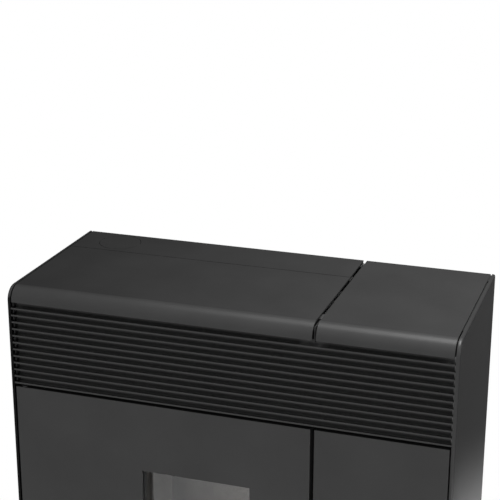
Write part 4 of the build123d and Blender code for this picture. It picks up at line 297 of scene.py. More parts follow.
louvre_low = corners("louvre_grille")[0]
louvre_coat = powder_coat("satin_black_louvre", COAT_GREY, COAT_ROUGHNESS)
# Mask of the louvre's painted light, behind the blade lips.
behind_lip = louvre_coat.reach("Y", (louvre_low.y + PAINTED_LIGHT_FROM) * MM, (louvre_low.y + PAINTED_LIGHT_FULL) * MM)
past_cheek = louvre_coat.reach("X", (louvre_low.x + CHEEK_INNER) * MM, (louvre_low.x + CHEEK_CLEAR) * MM)
shade_coat(louvre_coat, behind_lip * past_cheek, PAINTED_LIGHT_GAIN)
wear(louvre_coat, "louvre_grille")

side_low = corners("side_panel_left")[0]
rim_coat = powder_coat("satin_black_left_side", COAT_GREY, COAT_ROUGHNESS)
# Mask of the painted shade on the left side's front rim.
rim = rim_coat.reach("Y", (side_low.y + RIM_BACK) * MM, (side_low.y + RIM_FRONT) * MM)
shade_coat(rim_coat, rim, RIM_PAINTED_SHADE_GAIN)
wear(rim_coat, "side_panel_left")
# The louvre carries painted light, and the left side's front rim carries painted shade.
print("painted light on the louvre, and a dark rim on the left side")

# %% [markdown]
# ## Galvanised sheet
#
# The pieces behind the casing aren't painted. Galvanised sheet shows spangle, the flat
# crystals of zinc, as cells of slightly different grey and gloss. The frame wears the same
# finish with a nearly black grey, a painted shade that keeps the slits between the covers
# dark.

# %% Zinc
def galvanised(name, grey=0.42):
    zinc = Finish(name, Metallic=0.9)
    spangle = zinc.patches(zinc.place(), 85.0)
    dull = zinc.noise(zinc.place(), 14.0, 4.0)
    zinc.use("Base Color", zinc.ramp(spangle * 0.7 + dull * 0.3, [(0.1, grey * 0.82), (0.9, grey * 1.15)]))
    zinc.use("Roughness", spangle * 0.14 + dull * 0.12 + 0.3)
    zinc.bump(spangle, 0.05, 0.0001)
    return zinc


wear(galvanised("galvanised_sheet"), "rear_panel", "pellet_hopper", "room_fan_housing")
# The frame's nearly black grey is painted shade for the slits above it.
wear(galvanised("black_passivated_zinc", 0.022), "chassis_frame")
print("zinc on the back, the hopper, the fan's case and the frame")

# %% [markdown]
# ## Rolled and turned steel
#
# Plain rolled sheet shows fine lines along one direction, and a turned pin shows them round
# it. A picture of brushed metal could give them. Noise that is stretched a hundred times does
# it without one, and its direction is only three numbers.

# %% Rolled steel
def rolled_steel(name, colour, roughness, stretch=(6, 600, 600)):
    steel = Finish(name, Metallic=1.0)
    lines = steel.noise(steel.place(stretch), 1.0, 4.0, 0.6)
    cloud = steel.noise(steel.place(), 22.0, 3.0)
    dark = tuple(part * 0.8 for part in colour)
    light = tuple(min(1.0, part * 1.12) for part in colour)
    steel.use("Base Color", steel.ramp(lines * 0.6 + cloud * 0.4, [(0.25, dark), (0.75, light)]))
    steel.use("Roughness", lines * 0.16 + cloud * 0.1 + (roughness - 0.12))
    steel.bump(lines, 0.12, 0.00005)
    return steel


UPRIGHT_LINES = (600, 600, 6)
wear(rolled_steel("turned_pin_steel", (0.55, 0.55, 0.56), 0.3, UPRIGHT_LINES), "lid_hinge_pins",
     "latch_tongue")
wear(rolled_steel("rolled_sheet_steel", (0.42, 0.42, 0.43), 0.42), "lid_hinge_brackets", "glass_clips",
     "pellet_chute", "auger_tube", "ash_drawer_box", "flue_outlet", "air_intake_pipe")
wear(rolled_steel("aluminised_duct", (0.5, 0.5, 0.49), 0.45, UPRIGHT_LINES), "smoke_duct",
     "exhaust_impeller")
wear(rolled_steel("polished_screw_steel", (0.38, 0.38, 0.39), 0.34, (90, 90, 90)), "auger_screw")
print("steel on the pins, the small sheet pieces, the ducts and the feed screw")

# %% [markdown]
# ## Soot and cast iron
#
# What meets the fire looks different from what meets the eye. The firebox is coated with a
# dead matt black that burns grey in clouds, and cast iron keeps the grain of its sand mould.
# Each is a fine noise for the surface and a wide one for the soot.

# %% Burnt coat and cast iron
def burnt_black(name, grey=0.03):
    coat = Finish(name, IOR=1.45)
    ash = coat.noise(coat.place(), 16.0, 6.0, 0.65)
    speck = coat.noise(coat.place(), 340.0, 3.0)
    stops = [(0.35, grey * 0.7), (0.62, grey), (0.8, grey * 2.6)]
    coat.use("Base Color", coat.ramp(ash * 0.8 + speck * 0.2, stops))
    coat.use("Roughness", ash * 0.2 + 0.68)
    coat.bump(speck, 0.25, 0.0002)
    return coat


def cast_iron(name, grey=0.035):
    iron = Finish(name, Metallic=0.35)
    grain = iron.noise(iron.place(), 520.0, 4.0, 0.6)
    soot = iron.noise(iron.place(), 12.0, 4.0)
    iron.use("Base Color", iron.ramp(grain * 0.5 + soot * 0.5, [(0.3, grey * 0.7), (0.75, grey * 1.5)]))
    iron.use("Roughness", soot * 0.15 + 0.58)
    iron.bump(grain, 0.45, 0.0004)
    return iron


wear(burnt_black("burnt_black_coat"), "firebox_shell", "ash_compartment", "pot_cradle")
wear(cast_iron("cast_iron_grain"), "burn_pot", "door_frame")
print("burnt coat and cast iron are on")

# %% [markdown]
# ## Vermiculite
#
# The firebox is lined with boards pressed from mica flakes. Cells of three near greys are the
# flakes, and a soft noise blends them towards soot. The board at the back also carries painted
# shade, darkest at its left end and paler at its right, which a reach along X adds to the soot.

# %% Fire bricks
# Where the back board's painted shade is darkest and where it is palest, along X in metres.
SHADE_DARK_END, SHADE_PALE_END = -0.2, -0.02
FLAKE_SHADES = [(0.0, (0.168, 0.16, 0.148)), (0.6, (0.2, 0.19, 0.176)), (1.0, (0.235, 0.224, 0.206))]
SOOT_AND_SHADE_GREY = rgba(0.035, 0.034, 0.033)


def vermiculite(name, painted_shade=0.0):
    board = Finish(name, IOR=1.4)
    flakes = board.patches(board.place((1, 1, 1.4)), 260.0)
    haze = board.noise(board.place(), 6.0, 5.0, 0.6)
    # The soot mask is real soot from the noise plus painted shade from the reach along X.
    soot = (haze - 0.2) * 0.8 + board.reach("X", SHADE_DARK_END, SHADE_PALE_END, painted_shade, painted_shade * -0.2)
    board.use("Base Color", board.blend(soot, board.ramp(flakes, FLAKE_SHADES), SOOT_AND_SHADE_GREY))
    board.use("Roughness", flakes * 0.2 + 0.7)
    board.bump(flakes, 0.35, 0.0005)
    return board


wear(vermiculite("vermiculite_board"), "firebrick_left", "firebrick_right", "baffle_plate")
# The back board carries painted shade, darkest at its left end.
wear(vermiculite("smoked_vermiculite", 1.0), "firebrick_back")
print("vermiculite on the bricks and the baffle")

# %% [markdown]
# ## Heat tint
#
# Bare steel tubes over the fire turn blue and straw. The tint depends on how hot the steel
# got. The room's air enters each tube at the back, so the front end is the hottest. A ramp
# follows the tube from there: burnt, blue, straw and bare, with edges that a noise unsettles.

# %% Exchanger tubes
TUBE_FRONT = -0.16
TINTS = [(0.05, (0.09, 0.08, 0.08)), (0.3, (0.13, 0.15, 0.22)), (0.5, (0.3, 0.2, 0.11)),
         (0.85, (0.42, 0.4, 0.37))]


def heat_tint(name):
    tube = Finish(name, Metallic=1.0)
    lines = tube.noise(tube.place((300, 8, 300)), 1.0, 3.0)
    cloud = tube.noise(tube.place(), 18.0, 3.0)
    cooler = (tube.along("Y") - TUBE_FRONT) * 4.2 + cloud * 0.5 - 0.15
    tube.use("Base Color", tube.ramp(cooler, TINTS))
    tube.use("Roughness", lines * 0.2 + 0.38)
    tube.bump(lines, 0.15, 0.0001)
    return tube


wear(heat_tint("heat_tinted_tube"), "exchanger_tubes")
print("heat tint on the tubes")

# %% [markdown]
# ## Cast and drawn aluminium
#
# Die-cast aluminium is pale and finely blasted, and the latch knob is the same metal, dyed
# dark. Grit as fine as sand is a bump, and a slow cloud keeps the grey from looking flat.
# The motors wear a darker powder coat.

# %% Aluminium and enamel
def blasted(name, grey, roughness=0.45):
    metal = Finish(name, Metallic=0.95)
    grit = metal.noise(metal.place(), 1300.0, 2.0)
    cloud = metal.noise(metal.place(), 18.0, 3.0)
    metal.use("Base Color", metal.ramp(cloud, [(0.3, grey * 0.9), (0.7, grey * 1.08)]))
    metal.use("Roughness", grit * 0.12 + cloud * 0.08 + (roughness - 0.1))
    metal.bump(grit, 0.2, 0.0001)
    return metal


wear(blasted("cast_aluminium", 0.5), "exhaust_fan_housing", "auger_gearmotor")
wear(blasted("drawn_aluminium", 0.6, 0.35), "room_fan_rotor")
wear(blasted("dark_knob_metal", 0.12, 0.38), "latch_knob")
wear(powder_coat("motor_enamel", 0.03, 0.35), "exhaust_fan_motor", "room_fan_motor")
print("aluminium and enamel are on")

# %% [markdown]
# ## Plastics
#
# Moulded plastics differ by colour, by gloss and by the fine grain of their moulds. So one
# function makes them all, and the panel under the lid gets the least roughness and grain.

# %% Moulded pieces
def moulded(name, colour, roughness, grain=0.12):
    plastic = Finish(name, IOR=1.46)
    fine = plastic.noise(plastic.place(), 1800.0, 1.0)
    cloud = plastic.noise(plastic.place(), 30.0, 2.0)
    dark = tuple(part * 0.93 for part in colour)
    plastic.use("Base Color", plastic.ramp(cloud, [(0.3, dark), (0.7, colour)]))
    plastic.use("Roughness", fine * 0.06 + (roughness - 0.03))
    plastic.bump(fine, grain, 0.00005)
    return plastic


POLISHED_MOULD = 0.02
wear(moulded("gloss_black_panel", (0.008, 0.008, 0.009), 0.12, POLISHED_MOULD), "control_panel")
wear(moulded("key_cap_plastic", (0.09, 0.09, 0.092), 0.45), "button_power", "button_down", "button_up")
wear(moulded("board_laminate", (0.012, 0.07, 0.03), 0.4), "control_board")
wear(moulded("black_inlet_plastic", (0.012, 0.012, 0.012), 0.45), "mains_inlet", "safety_thermostat",
     "power_rocker", "levelling_feet")
wear(moulded("red_reset_plastic", (0.3, 0.02, 0.015), 0.4), "reset_button")
wear(moulded("white_igniter_ceramic", (0.6, 0.58, 0.52), 0.5), "igniter")
print("plastics are on")

# %% [markdown]
# ## The door's glass
#
# The pane is a clear glass ceramic. It could be made with transparency alone, but real
# transmission bends the light and lets the studio glint on it. Smears left by smoke vary its
# roughness a little and take away about a tenth of the light.

# %% Glass
def clear_pane(name):
    pane = Finish(name, IOR=1.5, Transmission_Weight=1.0)
    smear = pane.noise(pane.place(), 24.0, 4.0)
    pane.use("Roughness", smear * 0.05)
    pane.use("Base Color", pane.ramp(smear, [(0.3, 0.86), (0.7, 0.92)]))
    return pane


wear(clear_pane("clear_fire_glass"), "door_glass")
print("the door is glazed")

# %% [markdown]
# ## Loops and sweeps
#
# The rope, the tape and the lid's foam all run round a rectangle with rounded corners. A
# curve with a bevel could follow it, but a braid needs rings that turn as they go. So `loop`
# walks such a rectangle in small steps and gives each spot with its outward direction. A
# `Layout` says in which plane the rectangle lies.

# %% Where to draw
class Layout:
    """A plane to draw in, in millimetres: two axes in it and one across it."""

    def __init__(self, along, up, across, level):
        self.along, self.up, self.across = Vector(along), Vector(up), Vector(across)
        self.level = level

    def at(self, spot, depth=0.0):
        return (self.along * spot[0] + self.up * spot[1] + self.across * (self.level + depth)) * MM

    def middle_line(self, name, inset):
        """Opposite corners of a rectangle that lies inside a CAD ring's outside."""
        low, high = corners(name)
        return ((self.along.dot(low) + inset, self.up.dot(low) + inset),
                (self.along.dot(high) - inset, self.up.dot(high) - inset))


def loop(low, high, corner, step):
    """Spots round a rectangle, each with its outward direction."""
    walk = []
    centres = ((high[0] - corner, high[1] - corner), (low[0] + corner, high[1] - corner),
               (low[0] + corner, low[1] + corner), (high[0] - corner, low[1] + corner))
    bends = max(3, round(corner * pi / 2 / step))
    for index, centre in enumerate(centres):
        for bend in range(bends + 1):
            angle = (index + bend / bends) * pi / 2
            out = Vector((cos(angle), sin(angle)))
            walk.append((Vector(centre) + out * corner, out))
        run = Vector(centres[(index + 1) % 4]) - Vector(centre)
        start = walk[-1][0]
        pieces = round(run.length / step)
        for part in range(1, pieces):
            walk.append((start + run * (part / pieces), out))
    return walk


print("a small square loop has", len(loop((0, 0), (10, 10), 2, 1)), "spots")

# %% [markdown]
# ## Skin and pieces
#
# Rings of points could be bridged by hand in edit mode. `skin` writes the faces down instead,
# with UVs that run along the loop and round it. `add_piece` then puts a mesh in the scene,
# and says which body it rides on and which CAD piece it stands for, if any.

# %% From rings to a piece
def skin(name, strands):
    """One mesh from closed strands, each a list of rings of points."""
    points, faces, marks = [], [], []
    for rings in strands:
        base, sides = len(points), len(rings[0])
        for ring in rings:
            points.extend(ring)
        for i in range(len(rings)):
            following = (i + 1) % len(rings)
            for k in range(sides):
                beside = (k + 1) % sides
                faces.append((base + i * sides + k, base + following * sides + k,
                              base + following * sides + beside, base + i * sides + beside))
                marks.extend(((i, k), (i + 1, k), (i + 1, k + 1), (i, k + 1)))
    mesh = bpy.data.meshes.new(name)
    mesh.from_pydata(points, [], faces)
    layer = mesh.uv_layers.new(name="run")
    layer.data.foreach_set("uv", [part for mark in marks for part in mark])
    shape = bmesh.new()
    shape.from_mesh(mesh)
    bmesh.ops.recalc_face_normals(shape, faces=shape.faces)
    for face in shape.faces:
        face.smooth = True
    shape.to_mesh(mesh)
    shape.free()
    return mesh


def add_piece(mesh, finish, body, slot, *stands_for):
    mesh.materials.append(finish.material)
    made = bpy.data.objects.new(mesh.name, mesh)
    bpy.context.scene.collection.objects.link(made)
    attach(made, body)
    if stands_for:
        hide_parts(*stands_for)
    print(made.name, "has", len(mesh.polygons), "faces and rides on", body)


print("pieces can be skinned and added")

# %% [markdown]
# ## The door's rope
#
# A stove door seals against a braided glass-fibre rope. Flat tows wind round its core in both
# directions. A left-handed and a right-handed tow meet every eighth of a turn, and each tow
# goes over and under in turn, so its distance from the core follows a cosine with that beat.
# All sizes are in millimetres.

# %% Tows and core
ROPE_TURNS = 60
ROPE_TOWS = 4
TOW_REACH = 4.6
TOW_WAVE = 0.5
TOW_HALF_THICK = 0.58
TOW_HALF_WIDE = 2.15
TOW_SIDES = 6

rope_low, rope_high = corners("door_rope_gasket")
door_plane = Layout((1, 0, 0), (0, 0, 1), (0, 1, 0), (rope_low.y + rope_high.y) / 2)


def tow_rings(walk, way, tow, pitch):
    """Rings of one flat tow that winds round a loop."""
    lean = 2 * pi * TOW_REACH / pitch
    level = 1 / (1 + lean ** 2) ** 0.5
    rings = []
    for index, (spot, out) in enumerate(walk):
        turned = 2 * pi * ROPE_TURNS * index / len(walk)
        angle = way * turned + 2 * pi * tow / ROPE_TOWS
        away = out * cos(angle)
        round_it = out * -sin(angle)
        ahead = Vector((-out.y, out.x))
        middle = TOW_REACH + way * TOW_WAVE * cos(ROPE_TOWS * turned)
        ring = []
        for side in range(TOW_SIDES):
            thick = TOW_HALF_THICK * cos(2 * pi * side / TOW_SIDES)
            wide = TOW_HALF_WIDE * sin(2 * pi * side / TOW_SIDES)
            flat = spot + away * (middle + thick) + (round_it - way * lean * ahead) * (wide * level)
            depth = sin(angle) * (middle + thick) + cos(angle) * wide * level
            ring.append(door_plane.at(flat, depth))
        rings.append(ring)
    return rings


def round_rings(walk, plane, radius, sides):
    rings = []
    for spot, out in walk:
        turns = [2 * pi * side / sides for side in range(sides)]
        rings.append([plane.at(spot + out * radius * cos(t), radius * sin(t)) for t in turns])
    return rings


print("the rope lies", door_plane.level, "mm from the stove's middle")

# %% [markdown]
# ## Glass fibre
#
# The tows are bundles of fine glass threads, blackened by smoke. The threads follow each tow,
# so their noise is stretched along the rope's own UVs. The soot doesn't, so it reads the
# place instead.

# %% Braided rope gasket
ROPE_RADIUS = 5.7
ROPE_CORNER = 18.0
TOW_STEP = 1.02
CORE_STEP = 5.0
CORE_RADIUS = 4.3
CORE_SIDES = 12


def braided_glass(name):
    rope = Finish(name, IOR=1.4, Sheen_Weight=0.2)
    fibres = rope.noise(rope.run((0.06, 9.0, 1.0)), 1.0, 3.0, 0.6)
    soot = rope.noise(rope.place(), 35.0, 4.0)
    stops = [(0.3, 0.035), (0.6, 0.075), (0.8, 0.16)]
    rope.use("Base Color", rope.ramp(fibres * 0.55 + soot * 0.45, stops))
    rope.use("Roughness", fibres * 0.15 + 0.75)
    rope.bump(fibres, 0.5, 0.0003)
    return rope


rope_line = door_plane.middle_line("door_rope_gasket", ROPE_RADIUS)
rope_walk = loop(*rope_line, ROPE_CORNER, TOW_STEP)
rope_length = sum((a[0] - b[0]).length for a, b in zip(rope_walk, rope_walk[1:]))
rope_parts = [tow_rings(rope_walk, way, tow, rope_length / ROPE_TURNS)
              for way in (1, -1) for tow in range(ROPE_TOWS)]
core_walk = loop(*rope_line, ROPE_CORNER, CORE_STEP)
rope_parts.append(round_rings(core_walk, door_plane, CORE_RADIUS, CORE_SIDES))
add_piece(skin("rope_gasket_braid", rope_parts), braided_glass("braided_glass_rope"), "fire_door",
          "door_rope_gasket", "door_rope_gasket")

# %% [markdown]
# ## The tape under the glass
#
# The pane is bedded on a woven glass tape. Its outline is a flat lens, swept round the pane.
# The weave is too fine to model, so it is the product of two sine waves, one along each
# direction of its threads, which feeds colour, roughness and bump alike.

# %% Woven tape
TAPE_INSET = 5.0
TAPE_CORNER = 5.2
TAPE_STEP = 3.0
TAPE_HALF_WIDE = 4.95
TAPE_HALF_THICK = 0.72
TAPE_SIDES = 16
THREADS = 2900.0


def woven_tape(name):
    tape = Finish(name, IOR=1.45, Sheen_Weight=0.15)
    wave = [tape.node("ShaderNodeMath", {"operation": "SINE"}, {0: tape.along(axis) * THREADS})
            for axis in ("X", "Z")]
    weave = wave[0] * wave[1] * 0.5 + 0.5
    dirt = tape.noise(tape.place(), 40.0, 3.0)
    tape.use("Base Color", tape.ramp(weave * 0.6 + dirt * 0.4, [(0.2, 0.22), (0.8, 0.5)]))
    tape.use("Roughness", weave * 0.1 + 0.8)
    tape.bump(weave, 0.6, 0.0002)
    return tape


def swept_rings(walk, plane, outline):
    return [[plane.at(spot + out * reach, depth) for reach, depth in outline] for spot, out in walk]


def lens_point(t):
    """A spot on the tape's outline, whose ends are blunter than an ellipse's."""
    side = 1 if cos(t) > 0 else -1
    return (TAPE_HALF_WIDE * abs(cos(t)) ** 0.5 * side, TAPE_HALF_THICK * sin(t))


tape_low, tape_high = corners("glass_tape")
tape_plane = Layout((1, 0, 0), (0, 0, 1), (0, 1, 0), (tape_low.y + tape_high.y) / 2)
tape_walk = loop(*tape_plane.middle_line("glass_tape", TAPE_INSET), TAPE_CORNER, TAPE_STEP)
tape_outline = [lens_point(2 * pi * k / TAPE_SIDES) for k in range(TAPE_SIDES)]
tape_mesh = skin("glass_tape_weave", [swept_rings(tape_walk, tape_plane, tape_outline)])
add_piece(tape_mesh, woven_tape("woven_glass_tape"), "fire_door", "glass_tape", "glass_tape")

# %% [markdown]
# ## The lid's foam
#
# The hopper lid closes on a strip of foam rubber, glued to the lid with its flat back. Its
# outline is a D, swept round the lid like the tape. The skin of such foam is full of small
# pores, which are the dark middles of Voronoi cells.

# %% Foam strip
FOAM_INSET = 3.0
FOAM_CORNER = 4.0
FOAM_STEP = 4.0
FOAM_HALF = 2.95
FOAM_STRAIGHT = 4.5
FOAM_CROWN = 3.4
CROWN_PARTS = 8


def foam_rubber(name, gloss=0.5):
    foam = Finish(name, IOR=1.4, Specular_IOR_Level=gloss)
    pores = foam.cells(foam.place(), 900.0)
    cloud = foam.noise(foam.place(), 60.0, 3.0)
    foam.use("Base Color", foam.ramp(pores * 0.6 + cloud * 0.4, [(0.1, 0.008), (0.7, 0.03)]))
    foam.use("Roughness", cloud * 0.1 + 0.82)
    foam.bump(pores, 0.7, 0.0003)
    return foam


crown_turns = [k * pi / CROWN_PARTS for k in range(1, CROWN_PARTS)]
foam_outline = [(FOAM_HALF, 0.0), (FOAM_HALF, -FOAM_STRAIGHT)]
foam_outline += [(FOAM_HALF * cos(t), -FOAM_STRAIGHT - FOAM_CROWN * sin(t)) for t in crown_turns]
foam_outline += [(-FOAM_HALF, -FOAM_STRAIGHT), (-FOAM_HALF, 0.0)]
lid_plane = Layout((1, 0, 0), (0, 1, 0), (0, 0, 1), corners("lid_gasket")[1].z)
foam_walk = loop(*lid_plane.middle_line("lid_gasket", FOAM_INSET), FOAM_CORNER, FOAM_STEP)
foam_mesh = skin("lid_foam_strip", [swept_rings(foam_walk, lid_plane, foam_outline)])
add_piece(foam_mesh, foam_rubber("black_foam_rubber"), "lid", "lid_gasket", "lid_gasket")

# %% [markdown]
# ## One screw
#
# Every screw is the same pan head with a cross recess. It could be cut with a boolean, but
# polar rings are cleaner. A cross's outline is `min(arm, half width / sin(angle to the arm))`
# from its middle, and two rings of it, one lower than the other, make the recess.

# %% Screw head
HEAD_SIDES = 48
DOME = ((1.0, 0.0), (1.0, 0.35), (0.94, 0.62), (0.8, 0.85), (0.62, 1.0))
RECESS = ((1.0, 1.0), (0.8, 0.35))
ARM = 0.5
ARM_HALF_WIDTH = 0.11


def cross_reach(t):
    """Distance to the outline of a cross at an angle, in head radii."""
    from_arm = abs((t + pi / 4) % (pi / 2) - pi / 4)
    return min(ARM, ARM_HALF_WIDTH / max(0.01, sin(from_arm)))


def screw_head(radius, height):
    """Pan head on the XY plane, facing +Z, in metres."""
    turns = [2 * pi * k / HEAD_SIDES for k in range(HEAD_SIDES)]
    rings = []
    for reach, rise in DOME:
        rings.append([(radius * reach * cos(t), radius * reach * sin(t), height * rise) for t in turns])
    for shrink, rise in RECESS:
        reaches = [radius * shrink * cross_reach(t) for t in turns]
        rings.append([(r * cos(t), r * sin(t), height * rise) for r, t in zip(reaches, turns)])
    points = [point for ring in rings for point in ring]
    faces = [tuple(reversed(range(HEAD_SIDES)))]
    for i in range(len(rings) - 1):
        for k in range(HEAD_SIDES):
            beside = (k + 1) % HEAD_SIDES
            faces.append((i * HEAD_SIDES + k, i * HEAD_SIDES + beside,
                          (i + 1) * HEAD_SIDES + beside, (i + 1) * HEAD_SIDES + k))
    faces.append(tuple(range((len(rings) - 1) * HEAD_SIDES, len(rings) * HEAD_SIDES)))
    mesh = bpy.data.meshes.new("screw_head")
    mesh.from_pydata(points, [], faces)
    return mesh


print("a screw head has", HEAD_SIDES, "sides")

# %% [markdown]
# ## Screws set out by Geometry Nodes
#
# The heads could be copied one by one. A node group does it for any set of points. It puts a
# copy on each, faces it the right way and turns it by a random angle from a fixed seed,
# because no two screws stop at the same angle.

# %% Node group for screws
def screw_group():
    """Node group that puts the screw on every point of a mesh."""
    group = bpy.data.node_groups.new("set_out_screws", "GeometryNodeTree")
    wanted = (("Points", "Geometry"), ("Screw", "Object"), ("Facing", "Vector"), ("Seed", "Int"),
              ("Finish", "Material"))
    for label, kind in wanted:
        group.interface.new_socket(name=label, in_out="INPUT", socket_type="NodeSocket" + kind)
    group.interface.new_socket(name="Screws", in_out="OUTPUT", socket_type="NodeSocketGeometry")
    given = group.nodes.new("NodeGroupInput")
    result = group.nodes.new("NodeGroupOutput")
    points = group.nodes.new("GeometryNodeMeshToPoints")
    source = group.nodes.new("GeometryNodeObjectInfo")
    copies = group.nodes.new("GeometryNodeInstanceOnPoints")
    chance = group.nodes.new("FunctionNodeRandomValue")
    chance.data_type = "FLOAT_VECTOR"
    chance.inputs["Max"].default_value = (0.0, 0.0, 2 * pi)
    turned = group.nodes.new("GeometryNodeRotateInstances")
    solid = group.nodes.new("GeometryNodeRealizeInstances")
    painted = group.nodes.new("GeometryNodeSetMaterial")
    links = ((given, "Points", points, "Mesh"), (given, "Screw", source, "Object"),
             (points, "Points", copies, "Points"), (source, "Geometry", copies, "Instance"),
             (given, "Facing", copies, "Rotation"), (given, "Seed", chance, "Seed"),
             (copies, "Instances", turned, "Instances"), (chance, "Value", turned, "Rotation"),
             (turned, "Instances", solid, "Geometry"), (solid, "Geometry", painted, "Geometry"),
             (given, "Finish", painted, "Material"), (painted, "Geometry", result, "Screws"))
    for start, output, end, put_in in links:
        group.links.new(start.outputs[output], end.inputs[put_in])
    return group


screw_nodes = screw_group()
print("the node group has", len(screw_nodes.nodes), "nodes")

# %% [markdown]
# ## From node group to piece
#
# The export drops live instances, so the modifier's result is turned into a plain mesh at
# once, and the modifier goes. Its inputs are set by identifier. The screws are zinc-plated:
# bright metal with a faint cloud.

# %% Screws as pieces
def screws(name, body, facing, head, places, seed, finish):
    """Screws at places in millimetres, as one piece."""
    dots = bpy.data.meshes.new(name)
    dots.from_pydata([Vector(place) * MM for place in places], [], [])
    holder = bpy.data.objects.new(name, dots)
    bpy.context.scene.collection.objects.link(holder)
    source = bpy.data.objects.new("screw_source", screw_head(head[0] * MM, head[1] * MM))
    bpy.context.scene.collection.objects.link(source)
    setter = holder.modifiers.new("set_out_screws", "NODES")
    setter.node_group = screw_nodes
    entries = [item for item in screw_nodes.interface.items_tree if item.in_out == "INPUT"]
    sockets = {item.name: item.identifier for item in entries}
    setter[sockets["Screw"]] = source
    setter[sockets["Facing"]] = facing
    setter[sockets["Seed"]] = seed
    setter[sockets["Finish"]] = finish.material
    ready = holder.evaluated_get(bpy.context.evaluated_depsgraph_get())
    holder_mesh = bpy.data.meshes.new_from_object(ready)
    holder.modifiers.clear()
    holder.data = holder_mesh
    bpy.data.objects.remove(source)
    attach(holder, body)
    print(name, "has", len(places), "screws and", len(holder_mesh.polygons), "faces")


def zinc_plated(name):
    zinc = Finish(name, Metallic=1.0)
    cloud = zinc.noise(zinc.place(), 160.0, 3.0)
    zinc.use("Base Color", zinc.ramp(cloud, [(0.3, (0.5, 0.51, 0.53)), (0.7, (0.66, 0.66, 0.65))]))
    zinc.use("Roughness", cloud * 0.15 + 0.22)
    zinc.bump(cloud, 0.1, 0.0001)
    return zinc


plating = zinc_plated("zinc_plated_screw")
print("screws can be set out")

# %% [markdown]
# ## Screws on the back
#
# The rear panel is held along its sides and its foot. Distances are taken from the edges of
# the piece that the screws hold, and a screw faces the way its turn about X or Y says. Heads
# are given by their radius and height.

# %% Rear panel screws
BACK, FRONT, UP, LEFT = (-pi / 2, 0, 0), (pi / 2, 0, 0), (0, 0, 0), (0, -pi / 2, 0)
PANEL_HEAD, CLIP_HEAD, PLATE_HEAD = (4.0, 2.3), (3.2, 1.7), (3.4, 2.0)
POST_INSET = 15.0
POST_HEIGHTS = (70.0, 320.0, 570.0, 820.0, 1050.0)
FOOT_RISE, FOOT_STEP = 10.0, 145.0


def ends(low, high, inset):
    """Two places, each as far from its end of a stretch."""
    return low + inset, high - inset


def grid(across, depth, levels):
    """Screw places on an upright face, one for each pair of a place across it and a level."""
    return [(x, depth, z) for x in across for z in levels]


low, high = corners("rear_panel")
panel_spots = grid(ends(low.x, high.x, POST_INSET), high.y, POST_HEIGHTS)
panel_spots += grid([k * FOOT_STEP for k in (-2, -1, 0, 1, 2)], high.y, [low.z + FOOT_RISE])
screws("rear_panel_screws", "casing", BACK, PANEL_HEAD, panel_spots, 3, plating)

# %% [markdown]
# ## Screws on clips and plates
#
# Six clips hold the glass with a screw each. The door's hinge plates, the lid's brackets, the
# latch's keeper and the flue's flange are thin plates on the casing, so their screws sit on
# the plate's face, a plate's thickness from its back.

# %% Clip, hinge, bracket, keeper and flange screws
CLIP_INSET, CLIP_END = 4.8, 11.0
TAB_THICK, TAB_INSET, TAB_HEIGHTS = 2.5, 6.0, (242.0, 918.0)
LUG_THICK, LUG_INSET, LUG_DEPTH, LUG_HALF = 2.5, 18.5, 12.5, 9.0
KEEPER_THICK, KEEPER_DEPTH, KEEPER_END = 3.0, 12.0, 9.0
FLANGE_THICK, FLANGE_INSET = 3.0, 7.0

low, high = corners("glass_clips")
clip_levels = (low.z + CLIP_END, (low.z + high.z) / 2, high.z - CLIP_END)
clip_spots = grid(ends(low.x, high.x, CLIP_INSET), high.y, clip_levels)
screws("clip_screws", "fire_door", BACK, CLIP_HEAD, clip_spots, 5, plating)

low, high = corners("door_hinge_plates")
tab_spots = grid(ends(low.x, high.x, TAB_INSET), high.y - TAB_THICK, TAB_HEIGHTS)
screws("hinge_plate_screws", "casing", FRONT, PLATE_HEAD, tab_spots, 7, plating)

low, high = corners("lid_hinge_brackets")
lugs = [middle + step for middle in ends(low.x, high.x, LUG_INSET) for step in (-LUG_HALF, LUG_HALF)]
lug_spots = grid(lugs, low.y + LUG_DEPTH, [low.z + LUG_THICK])
screws("lid_bracket_screws", "casing", UP, PLATE_HEAD, lug_spots, 9, plating)

low, high = corners("latch_keeper")
keeper_spots = grid([high.x - KEEPER_THICK], high.y - KEEPER_DEPTH, ends(low.z, high.z, KEEPER_END))
screws("keeper_screws", "casing", LEFT, PLATE_HEAD, keeper_spots, 11, plating)

low, high = corners("flue_outlet")
flange_spots = grid(ends(low.x, high.x, FLANGE_INSET), low.y + FLANGE_THICK,
                    ends(low.z, high.z, FLANGE_INSET))
screws("flue_flange_screws", "casing", BACK, PLATE_HEAD, flange_spots, 13, plating)

# %% [markdown]
# ## Flat prints and strips
#
# A window, a print and a strip of foam are all thin prisms over an outline. An extruded curve
# would do as well, but the outline's points are needed anyway, so each prism is written
# straight into a bmesh. Rounded corners come from arcs.

# %% Arcs and prisms
def arc(centre, radius, first, last, count):
    """Points on a circle, angles in degrees."""
    turns = [radians(first + (last - first) * k / count) for k in range(count + 1)]
    return [(centre[0] + radius * cos(t), centre[1] + radius * sin(t)) for t in turns]


def rounded(low, high, corner, count):
    """Outline of a rectangle with rounded corners, from one corner's place to the other's."""
    middles = ((high[0] - corner, high[1] - corner), (low[0] + corner, high[1] - corner),
               (low[0] + corner, low[1] + corner), (high[0] - corner, low[1] + corner))
    return [spot for index, middle in enumerate(middles)
            for spot in arc(middle, corner, 90 * index, 90 * index + 90, count)]


